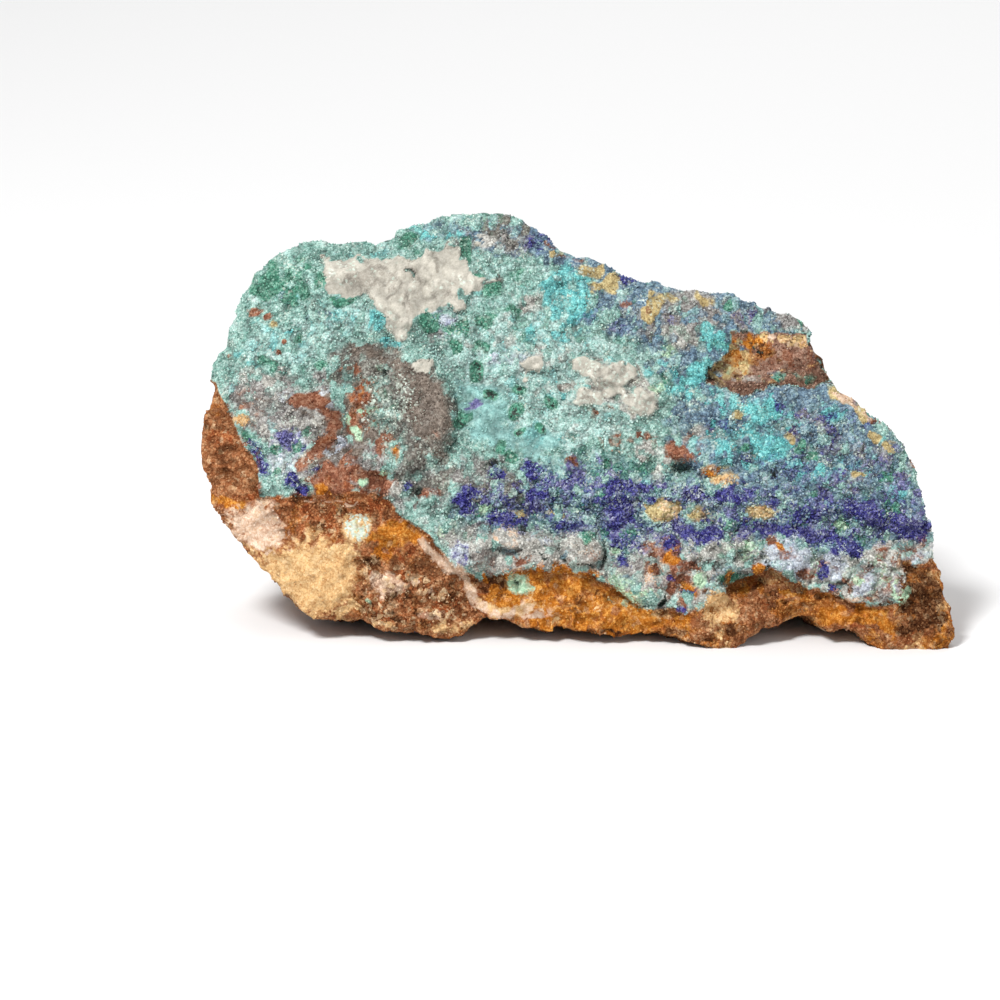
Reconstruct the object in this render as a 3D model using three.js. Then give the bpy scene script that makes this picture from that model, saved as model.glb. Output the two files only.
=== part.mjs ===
// Azurite with malachite on limonite, a hand specimen that is one natural piece.
// Millimetres, +Z up. The crusted face looks along -Y and leans back. The stone rests on its broken underside.
//
// The face is laid out on a plane that leans back a little from upright. On it u runs to the right and v runs
// up, and w is the depth into the stone, square to the plane. Heights of the relief are measured against w.
import * as THREE from "three";

// Driving dimensions
const planeLean = THREE.MathUtils.degToRad(15);
const faceSlope = 0.18; // how much deeper the face lies for each millimetre up the plane
const faceWidth = 90; // of its middle part, which the distance from the rim is worked out from
const faceHeight = 50;
const depth = 41; // from the foot of the face to the back
const backInset = 1.4; // of the middle height of the rough back
const cellsAcross = 74; // grid of the face; the back has half as many each way
const cellsUp = 42;
const bandRows = 5; // rows of the flanks, from the rim of the face to the rim of the back
const rimRounding = 2.0; // how far the rim of the face falls back
const rimWidth = 2.6;
const flankWaist = 0.02; // how much the flanks are drawn in midway, as a share of their place
const scarDepth = 1.9; // of the scar where a corner of the crust broke away
const scarEdge = 0.5; // width of its broken edge
const scarTilt = 0.75; // how much shallower it is along its top
const scarTop = [37.5, 42.5]; // where it gets shallower, up the face
const bareEdge = 0.6; // width of the crust's lower edge
const lumpWobble = 0.12; // how far the edges of the lumps wander, for each unit of the border's wobble

// Roughness of the stone: noises with the size of their grain, their height and the layer that they come from.
const faceRoughness = [
  { grain: 13, height: 0.9, layer: 3.7 },
  { grain: 5, height: 0.5, layer: 8.2 },
  { grain: 2.3, height: 0.45, layer: 1.9 },
];
const backRoughness = [
  { grain: 5, height: 0.7, layer: 6.5 },
  { grain: 2.6, height: 0.4, layer: 1.5 },
];
const borderWobble = [{ grain: 3, height: 0.8, layer: 5.5 }];
const ledges = { grain: 12, height: 3.4, layer: 2.5, steps: 2.4 }; // broken steps of the back
const ledgeSlope = [0.35, 0.65]; // the part of each step that its slope takes
const facets = { size: 8, tilt: 0.3, offset: 0.6, scatter: 0.8 }; // of the broken back
const faceJitter = { amount: 0.35, grain: 2.6 };
const flankJitter = { amount: 1.3, grain: 6 };
const jitterLayers = [11.3, 23.9, 37.1];
// Hollows of the underside: they lie where the noise is above low, and start behind the feet.
const hollows = { grain: 13, layer: 4.4, low: 0.25, high: 0.8, front: 5, behind: 11, height: 1.8 };

// Outline of the face as (u, v), in four sides. The left and right sides run upwards, the others to the right.
const faceLeft = [
  [-36.2, 5.6], [-37.8, 7.0], [-40.0, 9.1], [-42.3, 11.5], [-44.6, 14.3], [-46.9, 17.1], [-48.5, 19.7],
  [-49.0, 22.2], [-50.0, 24.9], [-50.0, 28.5], [-49.6, 31.6], [-48.4, 33.5], [-48.2, 35.3], [-49.0, 36.3],
  [-48.3, 38.7], [-46.6, 40.6], [-46.1, 43.2], [-45.1, 46.2], [-43.3, 49.9], [-41.5, 51.9], [-39.6, 53.5],
];
const faceTop = [
  [-39.6, 53.5], [-36.9, 54.3], [-34.3, 55.0], [-32.7, 54.6], [-26.6, 54.3], [-23.1, 56.6], [-18.3, 58.0],
  [-16.7, 58.6], [-12.9, 58.8], [-7.8, 58.3], [-6.2, 57.0], [-3.8, 55.4], [-1.7, 53.3], [2.1, 52.4],
  [3.7, 51.9], [5.8, 50.4], [8.5, 49.4], [10.9, 49.5], [15.2, 47.9], [18.0, 48.3], [22.6, 46.9],
  [25.9, 45.3], [28.6, 44.8], [30.4, 43.9],
];
const faceRight = [
  [49.2, 0.7], [50.0, 2.8], [49.6, 5.8], [48.4, 7.8], [48.3, 10.7], [47.5, 12.4], [47.2, 15.1],
  [45.8, 21.2], [45.0, 24.5], [43.7, 27.2], [41.7, 29.6], [39.0, 32.0], [35.0, 34.4], [33.7, 36.1],
  [32.2, 39.9], [31.3, 42.0], [30.4, 43.9],
];
const faceBottom = [
  [-36.2, 5.6], [-34.9, 4.7], [-28.7, 4.3], [-26.6, 3.5], [-23.6, 2.8], [-16.7, 2.0], [-14.8, 2.7],
  [-14.0, 3.7], [-12.2, 4.6], [-9.2, 4.4], [-6.9, 3.3], [-3.5, 2.8], [-2.2, 3.5], [1.0, 3.3],
  [3.1, 2.5], [10.5, 2.4], [13.9, 1.9], [16.3, 1.1], [18.5, 0.1], [20.5, 0.5], [23.0, 1.9],
  [24.8, 3.3], [27.2, 4.0], [29.9, 5.0], [31.5, 4.1], [33.7, 2.7], [35.5, 3.6], [38.0, 1.7],
  [40.6, 0.4], [45.3, 0.4], [49.2, 0.7],
];

// Outline of the back as (x, z). It is a rougher shape, a little inside the line of the face.
const backLeft = [
  [-36.0, 0.0], [-42.5, 5.5], [-45.5, 14.0], [-43.0, 24.5], [-42.0, 32.0], [-35.5, 40.5],
];
const backTop = [
  [-35.5, 40.5], [-25.0, 41.5], [-13.0, 46.0], [-7.5, 44.5], [-2.0, 39.0], [11.0, 37.5], [21.0, 33.0],
  [26.5, 31.0],
];
const backRight = [
  [45.0, 0.0], [44.5, 5.0], [40.5, 13.0], [37.5, 17.0], [31.0, 23.0], [26.5, 31.0],
];
const backBottom = [
  [-36.0, 0.0], [45.0, 0.0],
];

// Planes that chip the back: each keeps the stone in front of depth + slopeX * (x - x0) + slopeZ * (z - z0).
const backChips = [
  { x0: 0, z0: 26, slopeX: 0.05, slopeZ: -0.5 },
  { x0: -30, z0: 12, slopeX: 0.6, slopeZ: 0.1 },
  { x0: 30, z0: 8, slopeX: -0.6, slopeZ: -0.15 },
  { x0: -18, z0: 32, slopeX: 0.35, slopeZ: -0.35 },
  { x0: 12, z0: 12, slopeX: -0.2, slopeZ: -0.32 },
  { x0: -8, z0: 9, slopeX: 0.08, slopeZ: 0.3 },
];

// Lower edge of the crust on the face, from left to right as (u, v). Bare limonite lies below it, set back from
// the crust by the second line, as (u, millimetres).
const crustEdge = [
  [-50.0, 36.9], [-48.3, 36.1], [-46.5, 33.2], [-45.0, 29.2], [-43.0, 25.8], [-42.1, 20.9], [-27.0, 21.2],
  [-23.6, 18.5], [-19.6, 15.8], [-16.9, 11.8], [-12.9, 9.8], [-7.6, 10.7], [3.1, 9.1], [8.5, 5.8],
  [15.2, 5.1], [18.9, 7.5], [25.9, 11.5], [29.9, 9.1], [36.6, 6.4], [42.6, 6.4], [44.0, 11.5], [50.0, 13.8],
];
const setBack = [
  [-50, 0.5], [-42, 0.5], [-30, 0.6], [-24, 0.9], [-16, 1.4], [-5, 1.3], [10, 1.1], [22, 1.8], [30, 1.6],
  [38, 1.1], [50, 0.5],
];

// Lumps and hollows of the face: ellipses at (u, v), with the width of their edge as a part of their size.
const lumps = [
  { name: "grey mound", at: [-23.6, 32.3], size: [7.0, 8.2], edge: 0.2, rise: 2.4 },
  { name: "left shoulder", at: [-37.0, 42.5], size: [9.4, 8.0], edge: 0.9, rise: 1.3 },
  { name: "red ledge", at: [-30.3, 23.4], size: [6.7, 2.9], edge: 0.5, rise: 1.1 },
  { name: "smooth hollow", at: [-11.6, 31.0], size: [6.0, 6.4], edge: 0.6, rise: -1.1 },
  { name: "calcite shelf", at: [-24.3, 48.3], size: [10.7, 5.0], edge: 0.3, rise: 0.7 },
  { name: "middle swell", at: [-4.0, 42.0], size: [12.0, 9.0], edge: 0.9, rise: 1.0 },
  { name: "middle calcite", at: [4.8, 35.2], size: [5.6, 3.6], edge: 0.35, rise: 0.9 },
  { name: "rusty ledge", at: [16.8, 26.8], size: [4.2, 1.8], edge: 0.5, rise: 1.5 },
  { name: "ledge recess", at: [14.3, 24.0], size: [1.7, 1.5], edge: 0.5, rise: -2.2 },
  { name: "right swell", at: [34.0, 26.0], size: [11.0, 8.0], edge: 0.9, rise: 1.3 },
  { name: "azurite groove", at: [4.0, 18.0], size: [21.0, 2.4], edge: 0.5, rise: -1.3 },
  { name: "azurite hollow", at: [34.0, 16.0], size: [12.0, 1.8], edge: 0.5, rise: -1.3 },
  { name: "grey lobe", at: [-9.0, 13.0], size: [7.4, 2.7], edge: 0.5, rise: 1.0 },
  { name: "left end of it", at: [-14.6, 13.2], size: [2.6, 2.4], edge: 0.3, rise: 0.9 },
  { name: "pink fragment", at: [-8.9, 15.3], size: [2.1, 1.4], edge: 0.25, rise: 1.2 },
  { name: "white fragment", at: [0.6, 13.7], size: [2.5, 2.1], edge: 0.25, rise: 1.7 },
  { name: "mint lobe", at: [12.5, 10.5], size: [6.5, 4.4], edge: 0.4, rise: 1.2 },
  { name: "its left lump", at: [8.2, 9.4], size: [2.4, 2.2], edge: 0.3, rise: 0.9 },
  { name: "its rusty lump", at: [12.8, 12.6], size: [2.4, 2.0], edge: 0.3, rise: 1.0 },
  { name: "its right lump", at: [18.8, 13.6], size: [2.3, 1.6], edge: 0.3, rise: 1.0 },
  { name: "pale lobe", at: [27.8, 13.0], size: [2.9, 2.6], edge: 0.25, rise: 1.6 },
  { name: "lump beside it", at: [34.2, 11.4], size: [2.0, 1.9], edge: 0.3, rise: 0.9 },
  { name: "right lobe", at: [39.5, 9.4], size: [4.8, 3.0], edge: 0.4, rise: 1.2 },
  { name: "lump above it", at: [41.0, 12.8], size: [3.4, 1.5], edge: 0.3, rise: 0.9 },
  { name: "dark hole", at: [22.0, 9.2], size: [2.9, 1.5], edge: 0.3, rise: -2.4 },
  { name: "middle foot", at: [18.9, 3.4], size: [5.2, 5.0], edge: 0.5, rise: 2.0 },
  { name: "right foot", at: [45.0, 4.2], size: [6.5, 6.0], edge: 0.5, rise: 1.2 },
  { name: "left undercut", at: [-30.0, 4.0], size: [16.0, 6.0], edge: 0.9, rise: -0.8 },
];

// Scar where a corner of the crust broke away, as (u, v).
const scar = [
  [19.9, 42.8], [30.6, 42.3], [31.5, 40.6], [33.7, 35.9], [29.9, 34.8], [26.6, 35.5], [22.6, 33.9],
  [19.9, 35.2], [17.2, 35.9], [17.6, 37.5], [19.5, 39.0], [20.1, 40.6],
];

function smoothstep(low, high, x) {
  const t = THREE.MathUtils.clamp((x - low) / (high - low), 0, 1);
  return t * t * (3 - 2 * t);
}

// A repeatable value from 0 to 1 for a cell with whole-number indices.
function cellValue(i, j, k) {
  const s = Math.sin(i * 127.1 + j * 311.7 + k * 74.7) * 43758.5453;
  return s - Math.floor(s);
}

// Value noise from -1 to 1: the eight corners of the cell, blended with smooth weights.
function noise(x, y, z) {
  const [i, j, k] = [Math.floor(x), Math.floor(y), Math.floor(z)];
  const [a, b, c] = [x - i, y - j, z - k].map((f) => f * f * (3 - 2 * f));
  let sum = 0;
  for (const [di, wi] of [[0, 1 - a], [1, a]]) {
    for (const [dj, wj] of [[0, 1 - b], [1, b]]) {
      for (const [dk, wk] of [[0, 1 - c], [1, c]]) {
        sum += wi * wj * wk * cellValue(i + di, j + dj, k + dk);
      }
    }
  }
  return 2 * sum - 1;
}

// The sum of several noises at a place of a sheet.
function roughness(noises, a, b) {
  return noises.reduce((sum, { grain, height, layer }) => sum + height * noise(a / grain, b / grain, layer), 0);
}

// Broken steps: a slow noise cut into terraces, with a short slope between one and the next.
function ledgeHeight(a, b) {
  const level = ledges.steps * noise(a / ledges.grain, b / ledges.grain, ledges.layer);
  const terrace = Math.floor(level) + smoothstep(...ledgeSlope, level - Math.floor(level));
  return (ledges.height / ledges.steps) * terrace;
}

// Broken facets: each place belongs to the nearest of a jittered set of points and lies on its tilted plane.
function facetHeight(a, b) {
  const [x, y] = [a / facets.size, b / facets.size];
  const margin = (1 - facets.scatter) / 2;
  let nearest = Infinity;
  let height = 0;
  for (let i = Math.floor(x) - 1; i <= Math.floor(x) + 1; i += 1) {
    for (let j = Math.floor(y) - 1; j <= Math.floor(y) + 1; j += 1) {
      const dx = x - i - margin - facets.scatter * cellValue(i, j, 1);
      const dy = y - j - margin - facets.scatter * cellValue(i, j, 2);
      const away = Math.hypot(dx, dy);
      if (away < nearest) {
        const [p, q, r] = [3, 4, 5].map((k) => 2 * cellValue(i, j, k) - 1);
        height = facets.tilt * facets.size * (p * dx + q * dy) + facets.offset * r;
        nearest = away;
      }
    }
  }
  return height;
}

// The point at the share q of the way along a line of points, by length.
function along(points, q) {
  const lengths = [0];
  for (let i = 1; i < points.length; i += 1) {
    const [dx, dy] = [points[i][0] - points[i - 1][0], points[i][1] - points[i - 1][1]];
    lengths.push(lengths[i - 1] + Math.hypot(dx, dy));
  }
  const target = q * lengths.at(-1);
  const i = Math.max(1, lengths.findIndex((length) => length >= target - 1e-9));
  const share = (target - lengths[i - 1]) / (lengths[i] - lengths[i - 1]);
  return [0, 1].map((axis) => points[i - 1][axis] + share * (points[i][axis] - points[i - 1][axis]));
}

// The height of a line of points above x, between the two points beside it.
function heightAt(points, x) {
  const i = points.findIndex((point) => point[0] >= x);
  if (i < 0) return points.at(-1)[1];
  if (i === 0) return points[0][1];
  const [[x0, y0], [x1, y1]] = [points[i - 1], points[i]];
  return y0 + ((x - x0) / (x1 - x0)) * (y1 - y0);
}

// A Coons patch: the place (s, t) of a sheet that fills four sides, each blended towards the one opposite.
function coons([left, top, right, bottom], s, t) {
  const [l, r, b, p] = [along(left, t), along(right, t), along(bottom, s), along(top, s)];
  const [c00, c10, c01, c11] = [left[0], right[0], left.at(-1), right.at(-1)];
  return [0, 1].map((axis) => {
    const between = (1 - s) * l[axis] + s * r[axis] + (1 - t) * b[axis] + t * p[axis];
    const low = (1 - s) * c00[axis] + s * c10[axis];
    const high = (1 - s) * c01[axis] + s * c11[axis];
    return between - (1 - t) * low - t * high;
  });
}

// Distance to the border of a closed outline, positive inside it.
function insideBy(points, u, v) {
  let nearest = Infinity;
  let inside = false;
  points.forEach(([x1, y1], i) => {
    const [x0, y0] = points.at(i - 1);
    const [dx, dy] = [x1 - x0, y1 - y0];
    const share = THREE.MathUtils.clamp(((u - x0) * dx + (v - y0) * dy) / (dx * dx + dy * dy), 0, 1);
    nearest = Math.min(nearest, Math.hypot(u - x0 - share * dx, v - y0 - share * dy));
    if ((y0 > v) !== (y1 > v) && u < x0 + ((v - y0) / dy) * dx) inside = !inside;
  });
  return inside ? nearest : -nearest;
}

// Relief of the face towards the viewer: rough stone, lumps and hollows, the bare stone set back and the scar.
function relief(u, v) {
  const wobble = roughness(borderWobble, u, v);
  const bare = 1 - smoothstep(-bareEdge, bareEdge, v - heightAt(crustEdge, u) + wobble);
  let height = roughness(faceRoughness, u, v) - bare * heightAt(setBack, u);
  for (const lump of lumps) {
    const reach = Math.hypot((u - lump.at[0]) / lump.size[0], (v - lump.at[1]) / lump.size[1]);
    height += lump.rise * (1 - smoothstep(1 - lump.edge, 1 + lump.edge, reach + lumpWobble * wobble));
  }
  const deep = 1 - scarTilt * smoothstep(...scarTop, v);
  return height - scarDepth * deep * smoothstep(-scarEdge, scarEdge, insideBy(scar, u, v));
}

// A point of the plane's (u, v, w) in the part's own axes.
function fromPlane(u, v, w) {
  const [sin, cos] = [Math.sin(planeLean), Math.cos(planeLean)];
  return [u, v * sin + w * cos, v * cos - w * sin];
}

// Jitter that breaks straight lines, as long as the grain of the stone.
function jitter(point, amount, grain) {
  const [a, b, c] = point.map((value) => value / grain);
  return point.map((value, axis) => value + amount * noise(a, b, c + jitterLayers[axis]));
}

// The underside: flat where the stone rests, with shallow hollows that start behind the feet.
function onFloor([x, y, z]) {
  const place = noise(x / hollows.grain, y / hollows.grain, hollows.layer);
  const behind = smoothstep(hollows.front, hollows.behind, y);
  return [x, y, Math.max(z, hollows.height * smoothstep(hollows.low, hollows.high, place) * behind)];
}

function facePoint(s, t) {
  const [u, v] = coons([faceLeft, faceTop, faceRight, faceBottom], s, t);
  const toRim = Math.min(s * faceWidth, (1 - s) * faceWidth, t * faceHeight, (1 - t) * faceHeight);
  const w = faceSlope * v - relief(u, v) + rimRounding * Math.exp(-toRim / rimWidth);
  return onFloor(jitter(fromPlane(u, v, w), faceJitter.amount, faceJitter.grain));
}

function backPoint(s, t) {
  const [x, z] = coons([backLeft, backTop, backRight, backBottom], s, t);
  const planes = backChips.map((chip) => chip.slopeX * (x - chip.x0) + chip.slopeZ * (z - chip.z0));
  const rough = roughness(backRoughness, x, z) + ledgeHeight(x, z) + facetHeight(x, z);
  return onFloor([x, depth + Math.min(0, ...planes) - backInset + rough, z]);
}

// A point of the flanks, at the share q of the way from the face's rim to the back's. It goes straight, or down
// at the plane's lean where that is lower, and the underside runs flat once it is down.
function flankPoint(front, back, q) {
  const [x, y, straight] = [0, 1, 2].map((axis) => front[axis] + q * (back[axis] - front[axis]));
  const sloping = front[2] - (y - front[1]) * Math.tan(planeLean);
  const middle = Math.sin(Math.PI * q);
  const drawnIn = [x * (1 - flankWaist * middle), y, Math.min(straight, sloping)];
  const rough = jitter(drawnIn, flankJitter.amount * middle, flankJitter.grain);
  return onFloor([rough[0], rough[1], Math.max(rough[2], q * back[2])]);
}

// The rim of a grid with nx by ny cells as a loop of (s, t), from the lower left corner along the bottom first.
function rimOf(nx, ny) {
  const loop = [];
  for (let i = 0; i < nx; i += 1) loop.push([i / nx, 0]);
  for (let j = 0; j < ny; j += 1) loop.push([1, j / ny]);
  for (let i = nx; i > 0; i -= 1) loop.push([i / nx, 1]);
  for (let j = ny; j > 0; j -= 1) loop.push([0, j / ny]);
  return loop;
}

function rockGeometry() {
  const positions = [];
  const triangles = [];
  const add = (point) => positions.push(point) - 1;

  // A sheet of nx by ny cells. Its cells turn so that the face looks out at -Y, or the back at +Y when flipped.
  function addSheet(pointAt, nx, ny, flipped) {
    const rows = [];
    for (let j = 0; j <= ny; j += 1) {
      rows.push(Array.from({ length: nx + 1 }, (_, i) => add(pointAt(i / nx, j / ny))));
    }
    for (let j = 0; j < ny; j += 1) {
      for (let i = 0; i < nx; i += 1) {
        const [a, b, c, d] = [rows[j][i], rows[j][i + 1], rows[j + 1][i + 1], rows[j + 1][i]];
        triangles.push(...(flipped ? [[a, c, b], [a, d, c]] : [[a, b, c], [a, c, d]]));
      }
    }
    return rimOf(nx, ny).map(([s, t]) => rows[Math.round(t * ny)][Math.round(s * nx)]);
  }

  const faceRim = addSheet(facePoint, cellsAcross, cellsUp, false);
  const backRim = addSheet(backPoint, cellsAcross / 2, cellsUp / 2, true);

  // The flanks start at every second point of the face's rim, which is as many as the back's rim has.
  const rows = [];
  for (let row = 1; row < bandRows; row += 1) {
    const place = (back, i) => add(flankPoint(positions[faceRim[2 * i]], positions[back], row / bandRows));
    rows.push(backRim.map(place));
  }
  rows.push(backRim);
  const count = backRim.length;
  for (let i = 0; i < count; i += 1) {
    const [a, b, c] = [faceRim[2 * i], faceRim[2 * i + 1], faceRim[(2 * i + 2) % faceRim.length]];
    const [d, e] = [rows[0][i], rows[0][(i + 1) % count]];
    triangles.push([a, d, b], [b, d, e], [b, e, c]);
  }
  for (let row = 1; row < rows.length; row += 1) {
    for (let i = 0; i < count; i += 1) {
      const next = (i + 1) % count;
      const [a, b, c, d] = [rows[row - 1][i], rows[row][i], rows[row][next], rows[row - 1][next]];
      triangles.push([a, b, c], [a, c, d]);
    }
  }

  const geometry = new THREE.BufferGeometry();
  geometry.setAttribute("position", new THREE.Float32BufferAttribute(positions.flat(), 3));
  geometry.setIndex(triangles.flat());
  geometry.computeVertexNormals();
  return geometry;
}

// Puts the origin at the middle of the base.
function centred(geometry) {
  geometry.computeBoundingBox();
  const { min, max } = geometry.boundingBox;
  return geometry.translate(-(min.x + max.x) / 2, -(min.y + max.y) / 2, -min.z);
}

const crustedStone = new THREE.MeshStandardMaterial({ color: 0x7fa9a0, roughness: 0.85, metalness: 0 });
const rock = new THREE.Mesh(centred(rockGeometry()), crustedStone);
rock.name = "azurite_malachite_rock";

const specimen = new THREE.Group();
specimen.add(rock);

export default specimen;
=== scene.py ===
# Azurite with malachite on limonite: a hand specimen with a crust of fine crystals on bare, rusty stone.
import math

import bpy
import numpy as np
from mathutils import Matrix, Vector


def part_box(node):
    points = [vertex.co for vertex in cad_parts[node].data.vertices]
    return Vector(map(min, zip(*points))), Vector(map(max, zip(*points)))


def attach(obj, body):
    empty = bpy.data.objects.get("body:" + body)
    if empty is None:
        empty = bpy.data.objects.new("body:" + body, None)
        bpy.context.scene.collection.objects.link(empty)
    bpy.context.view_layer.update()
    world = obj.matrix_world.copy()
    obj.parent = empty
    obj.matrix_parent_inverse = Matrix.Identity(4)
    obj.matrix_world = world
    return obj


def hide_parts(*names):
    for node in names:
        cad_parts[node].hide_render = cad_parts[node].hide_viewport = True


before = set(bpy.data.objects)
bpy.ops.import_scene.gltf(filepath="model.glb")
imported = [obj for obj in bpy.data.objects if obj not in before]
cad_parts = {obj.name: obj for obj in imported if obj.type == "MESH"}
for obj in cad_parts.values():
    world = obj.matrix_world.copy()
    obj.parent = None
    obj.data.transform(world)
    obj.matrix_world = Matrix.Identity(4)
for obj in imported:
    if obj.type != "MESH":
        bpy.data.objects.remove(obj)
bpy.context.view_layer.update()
rockNode = "azurite_malachite_rock"
boxLow, boxHigh = (np.array(corner) * 1000 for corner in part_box(rockNode))  # mm
millimetre = 0.001  # everything is worked out in millimetres and scaled at the very end

# The crusted face is laid out on a plane that leans back from upright: u runs right, v runs up the plane and
# w goes into the stone. Outlines run upwards (left, right) or to the right (top, bottom).
facePlane = {
    "lean": math.radians(15),
    "slope": 0.18,  # how much deeper the face lies per millimetre up the plane
    "middle": (90, 50),  # size that the distance from the rim is worked out from
    "rimRounding": 2.0,  # how far the rim falls back
    "rimWidth": 2.6,
    "jitter": (0.35, 2.6),  # amount, grain
    "rimJitter": (0.32, 0.95),  # the same, only close to the rim
    "rimJitterWidth": 1.2,
    "left": [(-36.2, 5.6), (-37.8, 7.0), (-40.0, 9.1), (-42.3, 11.5), (-44.6, 14.3), (-46.9, 17.1),
             (-48.5, 19.7), (-49.0, 22.2), (-50.0, 24.9), (-50.0, 28.5), (-49.6, 31.6), (-48.4, 33.5),
             (-48.2, 35.3), (-49.0, 36.3), (-48.3, 38.7), (-46.6, 40.6), (-46.1, 43.2), (-45.1, 46.2),
             (-43.3, 49.9), (-41.5, 51.9), (-39.6, 53.5)],
    "top": [(-39.6, 53.5), (-36.9, 54.3), (-34.3, 55.0), (-32.7, 54.6), (-26.6, 54.3), (-23.1, 56.6),
            (-18.3, 58.0), (-16.7, 58.6), (-12.9, 58.8), (-7.8, 58.3), (-6.2, 57.0), (-3.8, 55.4),
            (-1.7, 53.3), (2.1, 52.4), (3.7, 51.9), (5.8, 50.4), (8.5, 49.4), (10.9, 49.5), (15.2, 47.9),
            (18.0, 48.3), (22.6, 46.9), (25.9, 45.3), (28.6, 44.8), (30.4, 43.9)],
    "right": [(49.2, 0.7), (50.0, 2.8), (49.6, 5.8), (48.4, 7.8), (48.3, 10.7), (47.5, 12.4), (47.2, 15.1),
              (45.8, 21.2), (45.0, 24.5), (43.7, 27.2), (41.7, 29.6), (39.0, 32.0), (35.0, 34.4),
              (33.7, 36.1), (32.2, 39.9), (31.3, 42.0), (30.4, 43.9)],
    "bottom": [(-36.2, 5.6), (-34.9, 4.7), (-28.7, 4.3), (-26.6, 3.5), (-23.6, 2.8), (-16.7, 2.0),
               (-14.8, 2.7), (-14.0, 3.7), (-12.2, 4.6), (-9.2, 4.4), (-6.9, 3.3), (-3.5, 2.8), (-2.2, 3.5),
               (1.0, 3.3), (3.1, 2.5), (10.5, 2.4), (13.9, 1.9), (16.3, 1.1), (18.5, 0.1), (20.5, 0.5),
               (23.0, 1.9), (24.8, 3.3), (27.2, 4.0), (29.9, 5.0), (31.5, 4.1), (33.7, 2.7), (35.5, 3.6),
               (38.0, 1.7), (40.6, 0.4), (45.3, 0.4), (49.2, 0.7)],
}
# The back and the flanks: outline of the back as (x, z), and planes that chip it off towards its edges.
backBlock = {
    "depth": 41,
    "inset": 1.4,  # of the middle height of the rough back
    "left": [(-36.0, 0.0), (-42.5, 5.5), (-45.5, 14.0), (-43.0, 24.5), (-42.0, 32.0), (-35.5, 40.5)],
    "top": [(-35.5, 40.5), (-25.0, 41.5), (-13.0, 46.0), (-7.5, 44.5), (-2.0, 39.0), (11.0, 37.5),
            (21.0, 33.0), (26.5, 31.0)],
    "right": [(45.0, 0.0), (44.5, 5.0), (40.5, 13.0), (37.5, 17.0), (31.0, 23.0), (26.5, 31.0)],
    "bottom": [(-36.0, 0.0), (45.0, 0.0)],
    "chips": [(0, 26, 0.05, -0.5), (-30, 12, 0.6, 0.1), (30, 8, -0.6, -0.15), (-18, 32, 0.35, -0.35),
              (12, 12, -0.2, -0.32), (-8, 9, 0.08, 0.3)],  # x, z, slope along x, slope along z
    "ledges": {"grain": 12, "height": 3.4, "layer": 2.5, "steps": 2.4, "slope": (0.35, 0.65)},
    "roughness": [(5, 0.7, 6.5), (2.6, 0.4, 1.5)],  # grain, height, layer
    "facets": {"size": 8, "tilt": 0.3, "offset": 0.6},
    "facetWander": (1.4, 0.5, 55.5),  # grain, amount, layer
    "ridges": {"grain": (2.3, 1.7), "height": 0.5, "layer": 3.5},
    "cracks": {"noises": [(9, 1, 57.5), (1.6, 0.15, 58.5)], "edge": (0.01, 0.05), "depth": 0.7},
    "waist": 0.02,  # how much the flanks are drawn in midway, as a share of their place
    "flankJitter": (1.3, 6),  # amount, grain
    "fineJitter": (0.45, 1.9),
    "hollows": {"grain": 13, "layer": 4.4, "low": 0.25, "high": 0.8, "front": 5, "behind": 11, "height": 1.8},
}
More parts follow.
